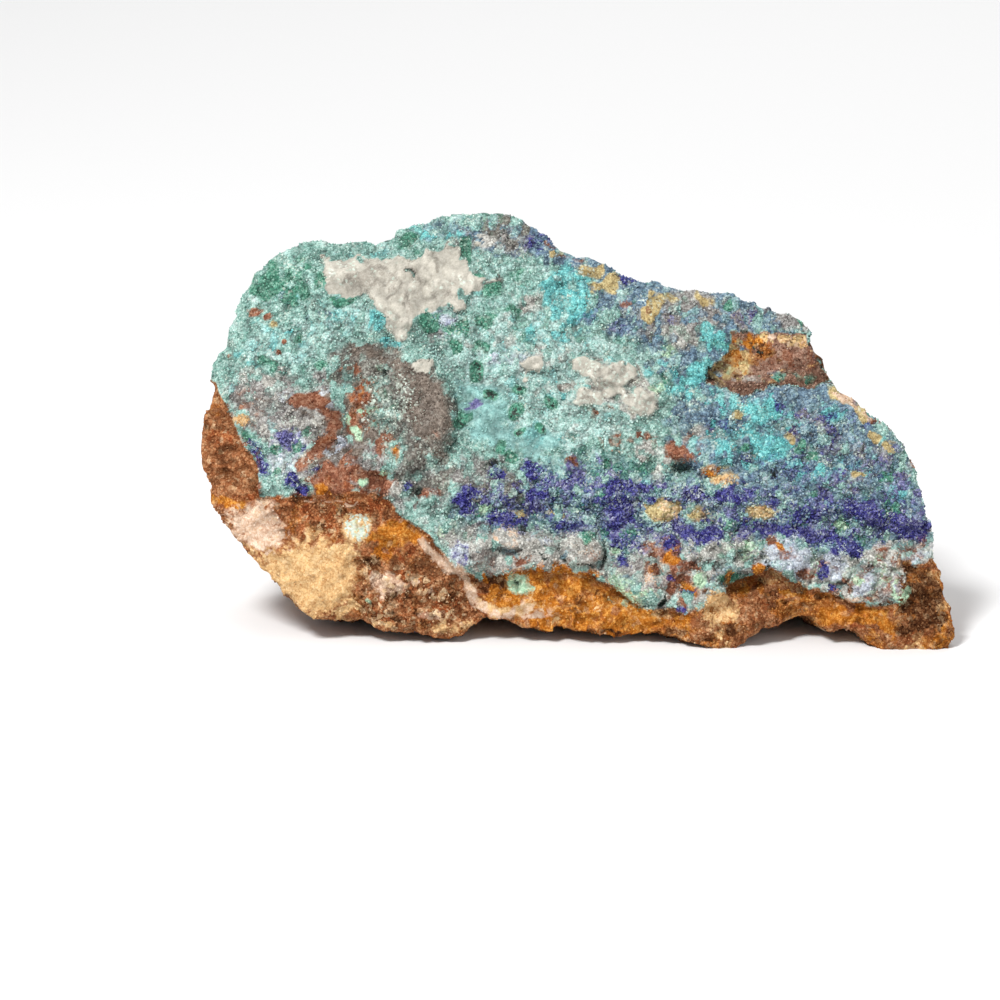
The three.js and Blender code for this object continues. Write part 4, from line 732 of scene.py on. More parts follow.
# The share of grains of each mineral at places on the face. Places are first shifted by noise, so that the
# borders wander.
def faceMasks(u, v):
    (broad, broadShift), (fine, fineShift) = faceMix["shift"]
    warpU, warpV = (
        axis + broadShift * noise(u / broad, v / broad, layer)
        + fineShift * noise(u / fine, v / fine, layer + 1)
        for axis, layer in zip((u, v), faceMix["shiftLayers"]))
    masks = {name: np.zeros(np.shape(u)) for name in minerals}
    paint(masks, zones, warpU, warpV)
    near = np.clip(4 * masks["calcite"], 0, 1)
    ragged = masks["calcite"] + near * roughness(faceMix["calciteEdge"], u, v)
    masks["calcite"] = smoothstep(0.35, 0.65, ragged)
    thin = patchShare(u, v, *faceMix["thin"])
    for name in faceMix["thinned"]:
        masks[name] = masks[name] * (1 - faceMix["thinnedBy"] * thin)
    plain = masks["smoothTeal"] + masks["mauveBrown"] + masks["rust"] + 0.7 * masks["mauveGrey"]
    plain = np.clip(plain, 0, 1)
    bare = bareShare(u, v)
    outside, added = faceMix["gatheredShare"]
    for index, (name, share) in enumerate(sprinkled.items()):
        patch = patchShare(u, v, *faceMix["gathered"], faceMix["gatheredLayer"] + index)
        raiseTo(masks, name, share * (outside + added * patch) * (1 - 0.9 * plain) * (1 - bare))

    # The bare stone is brown at the left and golden at the right, with dark, red and pale patches.
    patches = {name: patchShare(u, v, *faceMix[name])
               for name in ("amber", "umberAndShade", "rust", "oxide", "cream")}
    most = faceMix["most"]
    masks["limonite"] = bare
    right = smoothstep(*faceMix["rightPart"], u)
    clear = 1 - 0.75 * np.clip(masks["cream"] + masks["blush"], 0, 1)
    atLeft, added = faceMix["amberShare"]
    masks["amber"] = bare * (atLeft + added * right) * patches["amber"]
    atLeft, taken = faceMix["umberShare"]
    raiseTo(masks, "umberAndShade", (atLeft - taken * right) * bare * clear * patches["umberAndShade"])
    raiseTo(masks, "rust", most["rust"] * bare * patches["rust"])
    raiseTo(masks, "sandSpeck", most["sandSpeck"] * bare)
    raiseTo(masks, "oxide", most["oxide"] * bare * clear * patches["oxide"])
    raiseTo(masks, "cream", most["cream"] * bare * right * patches["cream"])

    # The scar has streaks that run down to the left, and a dark line round it.
    def streaks(share, length, width, layer):
        return share * smoothstep(0.1, 0.6, noise(u / length + v / length, (v - 0.4 * u) / width, layer))

    inScar = {name: np.zeros(np.shape(u)) for name in minerals}
    inScar["scarStone"] = np.ones(np.shape(u))
    paint(inScar, scarZones, warpU, warpV)
    for name, settings in faceMix["scarStreaks"].items():
        raiseTo(inScar, name, streaks(*settings))
    scar = smoothstep(-0.4, 0.3, insideOutline(faceRelief["scar"], warpU, warpV))
    for name in minerals:
        masks[name] = masks[name] * (1 - scar) + inScar[name] * scar
    edge = scar * (1 - scar) * 4
    raiseTo(masks, "shadow", faceMix["scarLine"] * edge)
    return masks


# Paints zones over the masks. A mineral's share is the largest that its shapes give, faded over each one's
# edge, and a negative share takes that part of it away.
def paint(masks, zones, u, v):
    insideShape = {4: insideOval, 2: insideBand, 1: insideOutline}  # by how many values give the shape
    for name, shapes in zones.items():
        for *shape, share, edge in shapes:
            cover = smoothstep(-edge, edge, insideShape[len(shape)](*shape, u, v))
            if share > 0:
                raiseTo(masks, name, share * cover)
            else:
                masks[name] = masks[name] * (1 + share * cover)


# How far the stone is bare: all of it below the crust's edge, which noise bends.
def bareShare(u, v):
    wobble = roughness([faceRelief["wobble"]], u, v)
    return 1 - smoothstep(-0.6, 0.6, v - heightAt(faceRelief["crustEdge"], u) + wobble)


# Relief of the face towards the viewer: rough stone, lumps and hollows, the bare stone set back, the scar.
def relief(u, v):
    wobble = roughness([faceRelief["wobble"]], u, v)
    height = roughness(faceRelief["roughness"], u, v)
    height = height - bareShare(u, v) * heightAt(faceRelief["setBack"], u)
    for place, size, edge, rise in faceRelief["lumps"]:
        reach = ovalReach(*place, *size, u, v)
        height = height + rise * (1 - smoothstep(1 - edge, 1 + edge, reach + 0.12 * wobble))
    edge = faceRelief["scarEdge"]
    scar = smoothstep(-edge, edge, insideOutline(faceRelief["scar"], u, v))
    deep = 1 - faceRelief["scarTilt"] * smoothstep(*faceRelief["scarTop"], v)
    return height - faceRelief["scarDepth"] * scar * deep


# Fine relief: rosettes of crystals, swells, nodules, cracks, grit, a hackly bare stone, rounded lumps of
# calcite and balls of malachite.
def fineRelief(u, v, masks, clumpAway, clumpValues):
    crust = 1 - masks["limonite"]
    smooth = smoothShare(masks)
    rosettes, swells, lumps = (faceRelief[name] for name in ("rosettes", "swells", "calciteLumps"))
    rosette = bumps(clumpAway, clumpValues[..., 3], rosettes)
    height = crust * (1 - smooth) * rosettes["height"] * rosette
    swellAway, swellValues = clumps(u, v, 0.0, swells["size"], swells["seed"])
    swell = bumps(swellAway, swellValues[..., 1], swells)
    stand = swells["height"] + swells["lowerHeight"] * smoothstep(*swells["lowerPart"], v)
    height = height + crust * (1 - smooth) * swell * stand
    for place, size, rise in faceRelief["nodules"]:
        height = height + rise * np.sqrt(np.clip(1 - ovalReach(*place, *size, u, v) ** 2, 0, 1))
    for line, width, depth in faceRelief["cracks"]:
        height = height - depth * smoothstep(0, width / 2, insideBand(line, width, u, v))
    height = height + roughness([faceRelief["grit"]], u, v) * (1 - 0.8 * smooth)
    hackly = noise(u / 2.6 + v / 5, v / 1.9 - u / 6, 16.2) + 0.5 * noise(u / 1.2, v / 0.9, 18.2)
    height = height + (1 - crust) * (1 - 0.7 * smooth) * faceRelief["hacklyHeight"] * (1 - 2 * np.abs(hackly))
    lumpAway, lumpValues = clumps(u, v, 0.0, lumps["size"], lumps["seed"])
    lump = lumps["height"] * bumps(lumpAway, lumpValues[..., 0], lumps)
    height = height + masks["calcite"] * (lump + roughness([faceRelief["calciteSwell"]], u, v))
    for place in faceRelief["balls"]:
        reach = np.hypot(u - place[0], v - place[1]) / faceRelief["ballSize"]
        height = height + faceRelief["ballRise"] * np.sqrt(np.clip(1 - reach ** 2, 0, 1))
    return height


# How far the grains of a mineral follow their clump, from 0 to 1.
def gatheringOf(name):
    return rockFinish["gathering"].get(name, rockFinish["gathering"]["others"])


# A grain takes a mineral where its chance lies below a limit. The chance is a mean of the grain's own random
# number and its clump's, which gathers about a half, so this gives the limit below which the wanted share of
# such means lies. It is then stretched to leave room for a soft switch at both ends.
def limitFor(share, name):
    gathering = gatheringOf(name)
    small, large = sorted((gathering, 1 - gathering))
    knee = small / (2 * large)
    low = np.sqrt(2 * small * large * np.clip(share, 0, 1))
    high = 1 - np.sqrt(2 * small * large * np.clip(1 - share, 0, 1))
    limit = np.where(share < knee, low, np.where(share > 1 - knee, high, large * share + small / 2))
    return limit * (1 + 1 / rockFinish["switch"]) - 0.5 / rockFinish["switch"]


# How much of the surface is earthy and has no lustre.
def dullShare(masks):
    return np.clip(sum(masks[name] for name in earthy), 0, 1)


# How much of the surface is free of sparkling grains.
def smoothShare(masks):
    return np.clip(sum(share * masks[name] for name, share in smoothness.items()), 0, 1)


# The plane's (u, v, w) in the part's own axes.
def fromPlane(u, v, w):
    sin, cos = math.sin(facePlane["lean"]), math.cos(facePlane["lean"])
    return np.stack([u, v * sin + w * cos, v * cos - w * sin], -1)


# Jitter that breaks straight lines, as long as the grain.
def jitter(points, amount, grain):
    x, y, z = np.moveaxis(points / grain, -1, 0)
    shift = np.stack([noise(x, y, z + 11.3), noise(x, y, z + 23.9), noise(x, y, z + 37.1)], -1)
    return points + np.asarray(amount)[..., None] * shift


# The underside: flat where the stone rests, with shallow hollows that start behind the feet.
def onFloor(points):
    x, y, z = np.moveaxis(points, -1, 0)
    hollows = backBlock["hollows"]
    place = noise(x / hollows["grain"], y / hollows["grain"], hollows["layer"])
    behind = smoothstep(hollows["front"], hollows["behind"], y)
    rise = hollows["height"] * smoothstep(hollows["low"], hollows["high"], place) * behind
    return np.stack([x, y, np.maximum(z, rise)], -1)


# The face: the plane inside its outline, falling back at the rim, with relief and jitter. It also gives the
# minerals' shares and the clumps' values.
def facePoints(s, t):
    u, v = coons(facePlane, s, t)
    masks = faceMasks(u, v)
    wander = wanderOf(faceRelief["rosetteWander"], u, v)
    rosettes = faceRelief["rosettes"]
    away, values = clumps(u + wander[0], v + wander[1], 0.0, rosettes["size"], rosettes["seed"])
    width, height = facePlane["middle"]
    toRim = np.minimum(np.minimum(s, 1 - s) * width, np.minimum(t, 1 - t) * height)
    depth = facePlane["slope"] * v + facePlane["rimRounding"] * np.exp(-toRim / facePlane["rimWidth"])
    fine = fineRelief(u, v, masks, away, values)
    points = jitter(fromPlane(u, v, depth - relief(u, v) - fine), *facePlane["jitter"])
    amount, grain = facePlane["rimJitter"]
    points = jitter(points, amount * np.exp(-toRim / facePlane["rimJitterWidth"]), grain)
    return onFloor(points), masks, values


# Thin cracks along the zero lines of a slow noise.
def crackShare(a, b):
    cracks = backBlock["cracks"]
    return 1 - smoothstep(*cracks["edge"], np.abs(roughness(cracks["noises"], a, b)))


# The back: chipped off in planes, with roughness, ledges, facets, ridges and cracks.
def backPoints(s, t):
    x, z = coons(backBlock, s, t)
    y = np.zeros(np.shape(x))
    for x0, z0, slopeX, slopeZ in backBlock["chips"]:
        y = np.minimum(y, slopeX * (x - x0) + slopeZ * (z - z0))
    rough = roughness(backBlock["roughness"], x, z) + ledgeHeight(backBlock["ledges"], x, z)
    wander = wanderOf(backBlock["facetWander"], x, z)
    rough = rough + facetHeight(backBlock["facets"], x + wander[0], z + wander[1])
    ridges = backBlock["ridges"]
    ridge = noise(x / ridges["grain"][0], z / ridges["grain"][1], ridges["layer"])
    rough = rough + ridges["height"] * (1 - 2 * np.abs(ridge))
    rough = rough - backBlock["cracks"]["depth"] * crackShare(x, z)
    return onFloor(np.stack([x, backBlock["depth"] + y - backBlock["inset"] + rough, z], -1))


# The flanks between the rims of face and back: straight, or down at the plane's lean where that is lower.
def flankPoints(front, back, q):
    straight = front + q * (back - front)
    sloping = front[..., 2] - (straight[..., 1] - front[..., 1]) * math.tan(facePlane["lean"])
    middle = np.sin(np.pi * q)[..., 0]
    inwards = straight[..., 0] * (1 - backBlock["waist"] * middle)
    points = np.stack([inwards, straight[..., 1], np.minimum(straight[..., 2], sloping)], -1)
    for amount, grain in (backBlock["flankJitter"], backBlock["fineJitter"]):
        points = jitter(points, amount * middle, grain)
    points[..., 2] = np.maximum(points[..., 2], q[..., 0] * back[..., 2])
    return onFloor(points)


# The share of grains of each mineral on flanks and back: rusty stone in patches, with a few green stains.
def matrixMasks(points):
    x, y, z = np.moveaxis(points, -1, 0)
    masks = {name: np.zeros(np.shape(x)) for name in minerals}

    def patch(size, layer, low, high, share):
        broad = noise(x / size, y / size, z / size + layer)
        fine = noise(x / size * 3, y / size * 3, z / size * 3 + layer)
        return share * smoothstep(low, high, broad + 0.5 * fine)

    stain = patch(5, 91.5, 0.55, 0.9, 1)
    bare = 1 - 0.85 * stain
    masks["limonite"] = bare
    masks["malachite"] = patch(3, 85.5, 0.1, 0.6, 0.5)
    masks["azurite"] = patch(4, 87.5, 0.3, 0.7, 0.6)
    masks["amber"] = patch(8, 61.5, -0.2, 0.5, 0.7) * bare
    masks["gold"] = patch(5, 63.5, 0.4, 0.8, 0.5) * bare
    masks["cream"] = patch(8, 71.5, 0.35, 0.95, 0.7) * bare
    masks["blush"] = patch(6, 73.5, 0.4, 0.9, 0.55) * bare
    masks["umberAndShade"] = np.maximum(patch(6, 81.5, 0.0, 0.7, 0.6), 0.6 * crackShare(x, z)) * bare
    masks["rust"] = patch(5, 65.5, -0.2, 0.5, 0.6) * bare
    masks["oxide"] = patch(6, 67.5, -0.2, 0.5, 0.6) * bare
    masks["sandSpeck"] = 0.07 * bare
    return masks


# Indices of the rim of a grid as one loop, from the lower left corner along the bottom first.
def rimOf(index):
    return np.concatenate([index[0, :-1], index[:-1, -1], index[-1, :0:-1], index[:0:-1, 0]])


# Quads of a grid of indices, as two triangles each.
def gridTriangles(index):
    a, b, c, d = index[:-1, :-1], index[:-1, 1:], index[1:, 1:], index[1:, :-1]
    return np.concatenate([np.stack([a, b, c], -1).reshape(-1, 3), np.stack([a, c, d], -1).reshape(-1, 3)])


rockMesh = {
    "cells": (330, 188),  # across and up the face; the back has half as many each way
    "flankRows": 30,
    "crustThickness": 2.2,  # how far the crust reaches round the rim
    "halfDepth": (19.9, 0.8),  # where the foremost lumps start to be pressed in, and the most that is left
    "jitter": (0.14, 1.0),  # amount, grain
    "onFloor": 0.2,  # points lower than this lie on the floor
}


# The whole stone as points, triangles, shares of each mineral and values of the clumps: a grid for the face,
# one with half as many cells for the back, and rows for the flanks between their rims.
def rockSurface():
    nx, ny = rockMesh["cells"]
    s, t = np.meshgrid(np.linspace(0, 1, nx + 1), np.linspace(0, 1, ny + 1))
    face, faceShare, faceClumps = facePoints(s, t)
    s, t = np.meshgrid(np.linspace(0, 1, nx // 2 + 1), np.linspace(0, 1, ny // 2 + 1))
    back = backPoints(s, t)
    faceIndex = np.arange(face[..., 0].size).reshape(face.shape[:2])
    backIndex = faceIndex.size + np.arange(back[..., 0].size).reshape(back.shape[:2])
    points = np.concatenate([face.reshape(-1, 3), back.reshape(-1, 3)])
    faceRim, backRim = rimOf(faceIndex), rimOf(backIndex)

    # Flank rows start at every second point of the face's rim, as many as the back's rim has.
    q = np.arange(1, rockMesh["flankRows"])[:, None, None] / rockMesh["flankRows"]
    front, rear = points[faceRim[::2]][None], points[backRim][None]
    flank = flankPoints(front, rear, np.broadcast_to(q, (len(q), len(backRim), 1)))
    flankIndex = len(points) + np.arange(flank[..., 0].size).reshape(flank.shape[:2])
    points = np.concatenate([points, flank.reshape(-1, 3)])

    rows = np.concatenate([flankIndex, backRim[None]])
    closed = np.concatenate([rows, rows[:, :1]], 1)
    a, b, c = faceRim[::2], faceRim[1::2], np.roll(faceRim, -2)[::2]
    d, e = closed[0, :-1], closed[0, 1:]
    joining = np.concatenate([np.stack(corners, -1) for corners in ((a, d, b), (b, d, e), (b, e, c))])
    triangles = np.concatenate([
        gridTriangles(faceIndex), gridTriangles(backIndex)[:, ::-1], joining,
        gridTriangles(closed.T)[:, ::-1]])

    # The crust's minerals reach a little way round the rim, then the bare stone starts.
    stone = matrixMasks(points[faceIndex.size:])
    wander = 1.2 * noise(*np.moveaxis(flank / 4, -1, 0))
    past = smoothstep(-0.8, 0.8, np.linalg.norm(flank - front, axis=-1) - rockMesh["crustThickness"] + wander)
    masks = {}
    for name in minerals:
        rim = faceShare[name].ravel()[faceRim[::2]][None]
        onBack, onFlank = np.split(stone[name], [backIndex.size])
        onFlank = onFlank.reshape(past.shape) * past + rim * (1 - past)
        masks[name] = np.concatenate([faceShare[name].ravel(), onBack, onFlank.ravel()])

    rosettes = faceRelief["rosettes"]
    _, stoneClumps = clumps(*points[faceIndex.size:].T, rosettes["size"], rosettes["seed"])
    clumpValues = np.concatenate([faceClumps.reshape(-1, 4), stoneClumps])
    amount, grain = rockMesh["jitter"]
    points = jitter(points, np.full(len(points), amount), grain)
    points[:, 2] = np.where(points[:, 2] < rockMesh["onFloor"], 0, points[:, 2])
    low, high = points.min(0), points.max(0)
    points = points - [(low[0] + high[0]) / 2, (low[1] + high[1]) / 2, 0]

    # The foremost lumps, past a set half depth, are pressed in softly, so that the stone stays in its box.
    start, rest = rockMesh["halfDepth"]
    beyond = np.maximum(np.abs(points[:, 1]) - start, 0)
    pressed = np.minimum(np.abs(points[:, 1]), start) + rest * (1 - np.exp(-beyond / rest))
    points[:, 1] = np.sign(points[:, 1]) * pressed
    return points, triangles, masks, clumpValues


boxGap = 0.01  # mm that a mesh stays inside the box, apart from the floor


# A mesh object whose place is in its mesh, with float attributes for each vertex. Points that would lie past
# the box are moved back to it.
def meshObject(name, points, triangles, attributes, smooth):
    mesh = bpy.data.meshes.new(name)
    inBox = np.clip(points, boxLow + boxGap, boxHigh - boxGap)
    inBox[:, 2] = np.clip(points[:, 2], boxLow[2], boxHigh[2] - boxGap)
    mesh.vertices.add(len(points))
    mesh.vertices.foreach_set("co", (inBox * millimetre).astype(np.float32).ravel())
    mesh.loops.add(triangles.size)
    mesh.loops.foreach_set("vertex_index", triangles.astype(np.int32).ravel())
    mesh.polygons.add(len(triangles))
    mesh.polygons.foreach_set("loop_start", np.arange(0, triangles.size, 3, dtype=np.int32))
    mesh.polygons.foreach_set("use_smooth", np.full(len(triangles), smooth))
    for key, values in attributes.items():
        kind, field = ("FLOAT_COLOR", "color") if values.ndim == 2 else ("FLOAT", "value")
        layer = mesh.attributes.new(key, kind, "POINT")
        layer.data.foreach_set(field, values.astype(np.float32).ravel())
    mesh.update()
    mesh.validate()
    piece = bpy.data.objects.new(name, mesh)
    bpy.context.scene.collection.objects.link(piece)
    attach(piece, "root")
    return piece


# A hex colour as linear light: a dark channel is divided by 12.92, and a lighter one, plus 0.055 and divided
# by 1.055, is raised to 2.4.
def linear(code):
    channels = [int(code[i:i + 2], 16) / 255 for i in (1, 3, 5)]
    return [c / 12.92 if c <= 0.04045 else ((c + 0.055) / 1.055) ** 2.4 for c in channels]


# A shader node with its settings. A socket among the inputs is linked, and a number or colour is set.
def addNode(tree, kind, inputs=None, **settings):
    node = tree.nodes.new("ShaderNode" + kind)
    for name, value in settings.items():
        setattr(node, name, value)
    for key, value in (inputs or {}).items():
        if isinstance(value, bpy.types.NodeSocket):
            tree.links.new(value, node.inputs[key])
        else:
            node.inputs[key].default_value = value
    return node


# A material without nodes, and its node tree.
def newMaterial(name):
    material = bpy.data.materials.new(name)
    material.use_nodes = True
    material.node_tree.nodes.clear()
    return material, material.node_tree


rockFinish = {
    "grain": 0.36,  # mm across a crystal of the druse
    "coarseGrain": 0.7,
    "grit": 0.22,  # mm, the unevenness inside a grain
    "ownGrit": 0.15,  # mm, the same on the separate crystals
    "cloud": 2.4,  # mm across light and dark patches
    "grainHeight": 0.14,  # mm
    "gathering": {"azurite": 0.68, "speck": 0.05, "sandSpeck": 0.1, "shadow": 0.55, "umberAndShade": 0.7,
                  "cream": 0.6, "blush": 0.6, "mint": 0.6, "violet": 0.6, "paleBlue": 0.7, "amber": 0.7,
                  "rust": 0.7, "others": 0.85},  # how far grains follow their clump
    "switch": 2.6,  # how sharply one mineral gives way to another
    "roughness": (0.55, 0.85),  # of a light grain and of a dark one
    "specular": (0.35, 0.04),  # of crystal and of earthy stone
}


# Intergrown micro crystals on earthy limonite. Each grain of a Voronoi mosaic has a chance of its own, and
# the minerals are painted over each other, each where its limit lies above that chance, with a soft switch.
# The eye gets a speckle of hard little faces, each in a dark, middle or light shade, with dark gaps of
# painted shade between.
def crustedStone():
    material, tree = newMaterial("intergrown crystal crust on limonite")
    place = addNode(tree, "TexCoord").outputs["Object"]
    fine = addNode(tree, "TexVoronoi", {"Vector": place, "Scale": 1000 / rockFinish["grain"]})
    coarse = addNode(tree, "TexVoronoi", {"Vector": place, "Scale": 1000 / rockFinish["coarseGrain"]})
    grit = addNode(tree, "TexNoise", {"Vector": place, "Scale": 1000 / rockFinish["grit"], "Detail": 2.0,
                                      "Roughness": 0.6})
    cloud = addNode(tree, "TexNoise", {"Vector": place, "Scale": 1000 / rockFinish["cloud"], "Detail": 3.0,
                                       "Roughness": 0.6})
    fineParts = addNode(tree, "SeparateColor", {"Color": fine.outputs["Color"]})
    coarseParts = addNode(tree, "SeparateColor", {"Color": coarse.outputs["Color"]})

    # Shade of the grain from 0, dark, to 1, light.
    shade = addNode(tree, "Math", {0: fineParts.outputs["Red"], 1: 0.5, 2: -0.25}, operation="MULTIPLY_ADD")
    shade = addNode(tree, "Math", {0: grit.outputs["Fac"], 1: 1.5, 2: shade.outputs[0]},
                    operation="MULTIPLY_ADD")
    shade = addNode(tree, "Math", {0: cloud.outputs["Fac"], 1: 0.9, 2: shade.outputs[0]},
                    operation="MULTIPLY_ADD")
    shade = addNode(tree, "Math", {0: shade.outputs[0], 1: 0.7}, operation="SUBTRACT", use_clamp=True)
    lower = addNode(tree, "Math", {0: shade.outputs[0], 1: 2.0}, operation="MULTIPLY", use_clamp=True)
    upper = addNode(tree, "Math", {0: shade.outputs[0], 1: 2.0, 2: -1.0}, operation="MULTIPLY_ADD",
                    use_clamp=True)

    # Each grain's four random numbers lean on those of its clump, so that minerals gather in rosettes.
    clump = addNode(tree, "Attribute", attribute_name="clump")
    clumpParts = addNode(tree, "SeparateColor", {"Color": clump.outputs["Color"]})
    grains = [fineParts.outputs["Green"], coarseParts.outputs["Red"], fineParts.outputs["Blue"],
              coarseParts.outputs["Green"]]
    gathered = [clumpParts.outputs["Red"], clumpParts.outputs["Green"], clumpParts.outputs["Blue"],
                clump.outputs["Alpha"]]
    colour = None
    for i, (name, shades) in enumerate(minerals.items()):
        dark, middle, light = ((*linear(code), 1) for code in shades)
        body = addNode(tree, "Mix", {"Factor": lower.outputs[0], 6: dark, 7: middle}, data_type="RGBA")
        body = addNode(tree, "Mix", {"Factor": upper.outputs[0], 6: body.outputs[2], 7: light},
                       data_type="RGBA")
        if colour is None:
            colour = body.outputs[2]
            continue
        share = addNode(tree, "Attribute", attribute_name=name).outputs["Fac"]
        chance = addNode(tree, "Mix", {"Factor": gatheringOf(name), 2: grains[i % 4], 3: gathered[i % 4]})
        over = addNode(tree, "Math", {0: share, 1: chance.outputs[0]}, operation="SUBTRACT")
        over = addNode(tree, "Math", {0: over.outputs[0], 1: rockFinish["switch"], 2: 0.5},
                       operation="MULTIPLY_ADD", use_clamp=True)
        colour = addNode(tree, "Mix", {"Factor": over.outputs[0], 6: colour, 7: body.outputs[2]},
                         data_type="RGBA").outputs[2]

    # Painted shade: dark gaps between grains, and darker hollows from the cavity attribute.
    cavity = addNode(tree, "Attribute", attribute_name="cavity").outputs["Fac"]
    smooth = addNode(tree, "Attribute", attribute_name="smooth").outputs["Fac"]
    rugged = addNode(tree, "Math", {0: 1.0, 1: smooth}, operation="SUBTRACT").outputs[0]
    gap = addNode(tree, "MapRange", {"Value": fine.outputs["Distance"], 1: 0.40, 2: 0.85, 3: 0.0, 4: 0.55})
    gap = addNode(tree, "Math", {0: gap.outputs[0], 1: rugged}, operation="MULTIPLY")
    gap = addNode(tree, "Math", {0: 1.0, 1: gap.outputs[0]}, operation="SUBTRACT")
    shadow = addNode(tree, "Math", {0: gap.outputs[0], 1: cavity}, operation="MULTIPLY")
    shaded = addNode(tree, "VectorMath", {0: colour, "Scale": shadow.outputs[0]}, operation="SCALE")

    height = addNode(tree, "Math", {0: fine.outputs["Distance"], 1: -0.9, 2: grit.outputs["Fac"]},
                     operation="MULTIPLY_ADD")
    height = addNode(tree, "Math", {0: coarse.outputs["Distance"], 1: -0.9, 2: height.outputs[0]},
                     operation="MULTIPLY_ADD")
    bumpStrength = addNode(tree, "MapRange", {"Value": rugged, 3: 0.25, 4: 0.9})
    bump = addNode(tree, "Bump", {"Height": height.outputs[0], "Strength": bumpStrength.outputs[0],
                                  "Distance": rockFinish["grainHeight"] * millimetre})
    rough = addNode(tree, "MapRange", {"Value": shade.outputs[0], 3: rockFinish["roughness"][1],
                                       4: rockFinish["roughness"][0]})
    dull = addNode(tree, "Attribute", attribute_name="dull").outputs["Fac"]
    crystal, earth = rockFinish["specular"]
    lustre = addNode(tree, "MapRange", {"Value": dull, 3: crystal, 4: earth})
    surface = addNode(tree, "BsdfPrincipled", {"Base Color": shaded.outputs[0], "Roughness": rough.outputs[0],
                                               "Specular IOR Level": lustre.outputs[0],
                                               "Normal": bump.outputs[0]})
    addNode(tree, "OutputMaterial", {"Surface": surface.outputs[0]})
    return material


# Little crystals, each of one colour with a fine unevenness. The eye gets a vitreous glint from crystal and
# none from earthy grit.
def crystalGrains():
    material, tree = newMaterial("vitreous crystal grains")
    place = addNode(tree, "TexCoord").outputs["Object"]
    own = addNode(tree, "Attribute", attribute_name="grainColour")
    grit = addNode(tree, "TexNoise", {"Vector": place, "Scale": 1000 / rockFinish["ownGrit"], "Detail": 1.0})
    light = addNode(tree, "MapRange", {"Value": grit.outputs["Fac"], 1: 0.3, 2: 0.7, 3: 0.8, 4: 1.15})
    colour = addNode(tree, "VectorMath", {0: own.outputs["Color"], "Scale": light.outputs[0]},
                     operation="SCALE")
    rough = addNode(tree, "MapRange", {"Value": grit.outputs["Fac"], 1: 0.3, 2: 0.7, 3: 0.4, 4: 0.7})
    crystal, earth = rockFinish["specular"]
    lustre = addNode(tree, "MapRange", {"Value": own.outputs["Alpha"], 3: earth, 4: crystal})
    surface = addNode(tree, "BsdfPrincipled", {"Base Color": colour.outputs[0], "Roughness": rough.outputs[0],
                                               "Specular IOR Level": lustre.outputs[0]})
    addNode(tree, "OutputMaterial", {"Surface": surface.outputs[0]})
    return material


# Painted shade and light: how far a vertex stands out from its surroundings is turned into light, so hollows
# are darker and rises lighter.
hollowShade = {
    "broadRounds": 30,  # times that the surface is smoothed for the broad hollows
    "broad": (-0.45, 0.3),  # mm, where it is darkest and where it is lightest
    "broadLight": (0.65, 0.45),  # the least, and what is added to it
    "near": (-0.06, 0.05),
    "nearLight": (0.72, 0.33),
    "onBare": 0.5,  # how much less the bare stone darkens
    "onPale": 0.4,  # how much less the pale minerals do
}


# How far each vertex stands out, along its normal, from the surface smoothed by averaging with its neighbours
# the given number of times. It is negative in hollows.
def cavityOf(points, triangles, normals, times):
    edges = np.concatenate([triangles[:, pair] for pair in ((0, 1), (1, 2), (2, 0), (1, 0), (2, 1), (0, 2))])
    count = np.bincount(edges[:, 0], minlength=len(points))
    smoothed = points
    for _ in range(times):
        sums = [np.bincount(edges[:, 0], smoothed[edges[:, 1], axis], len(points)) for axis in range(3)]
        smoothed = np.stack(sums, -1) / count[:, None]
    return ((points - smoothed) * normals).sum(1)


# The normal of each vertex: the sum of the crossed edges of its triangles, at length one.
def vertexNormals(points, triangles):
    a, b, c = (points[triangles[:, i]] for i in range(3))
    facing = np.cross(b - a, c - a)
    normals = np.zeros_like(points)
    for corner in range(3):
        for axis in range(3):
            normals[:, axis] += np.bincount(triangles[:, corner], facing[:, axis], len(points))
    return normals / np.maximum(np.linalg.norm(normals, axis=1), 1e-12)[:, None]


points, triangles, masks, clumpValues = rockSurface()
print("rock surface:", len(points), "points,", len(triangles), "triangles")

normals = vertexNormals(points, triangles)
# Painted shade and light from the relief: darker in hollows, lighter on rises, and less so on the bare stone
# and the pale minerals.
near = cavityOf(points, triangles, normals, 1)
broad = cavityOf(points, triangles, normals, hollowShade["broadRounds"])
least, added = hollowShade["broadLight"]
shade = least + added * smoothstep(*hollowShade["broad"], broad)
shade = shade + hollowShade["onBare"] * masks["limonite"] * np.maximum(1 - shade, 0)
least, added = hollowShade["nearLight"]
cavity = (least + added * smoothstep(*hollowShade["near"], near)) * shade
pale = np.clip(masks["calcite"] + masks["cream"] + masks["blush"], 0, 1)
attributes = {name: limitFor(masks[name], name) for name in minerals if name != "druse"}
attributes["cavity"] = cavity + (1 - cavity) * hollowShade["onPale"] * pale
attributes["smooth"] = smoothShare(masks)
attributes["clump"] = clumpValues
attributes["dull"] = dullShare(masks)
rock = meshObject("crustedRock", points, triangles, attributes, True)
rock.data.materials.append(crustedStone())
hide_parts(rockNode)
print("rock placed")


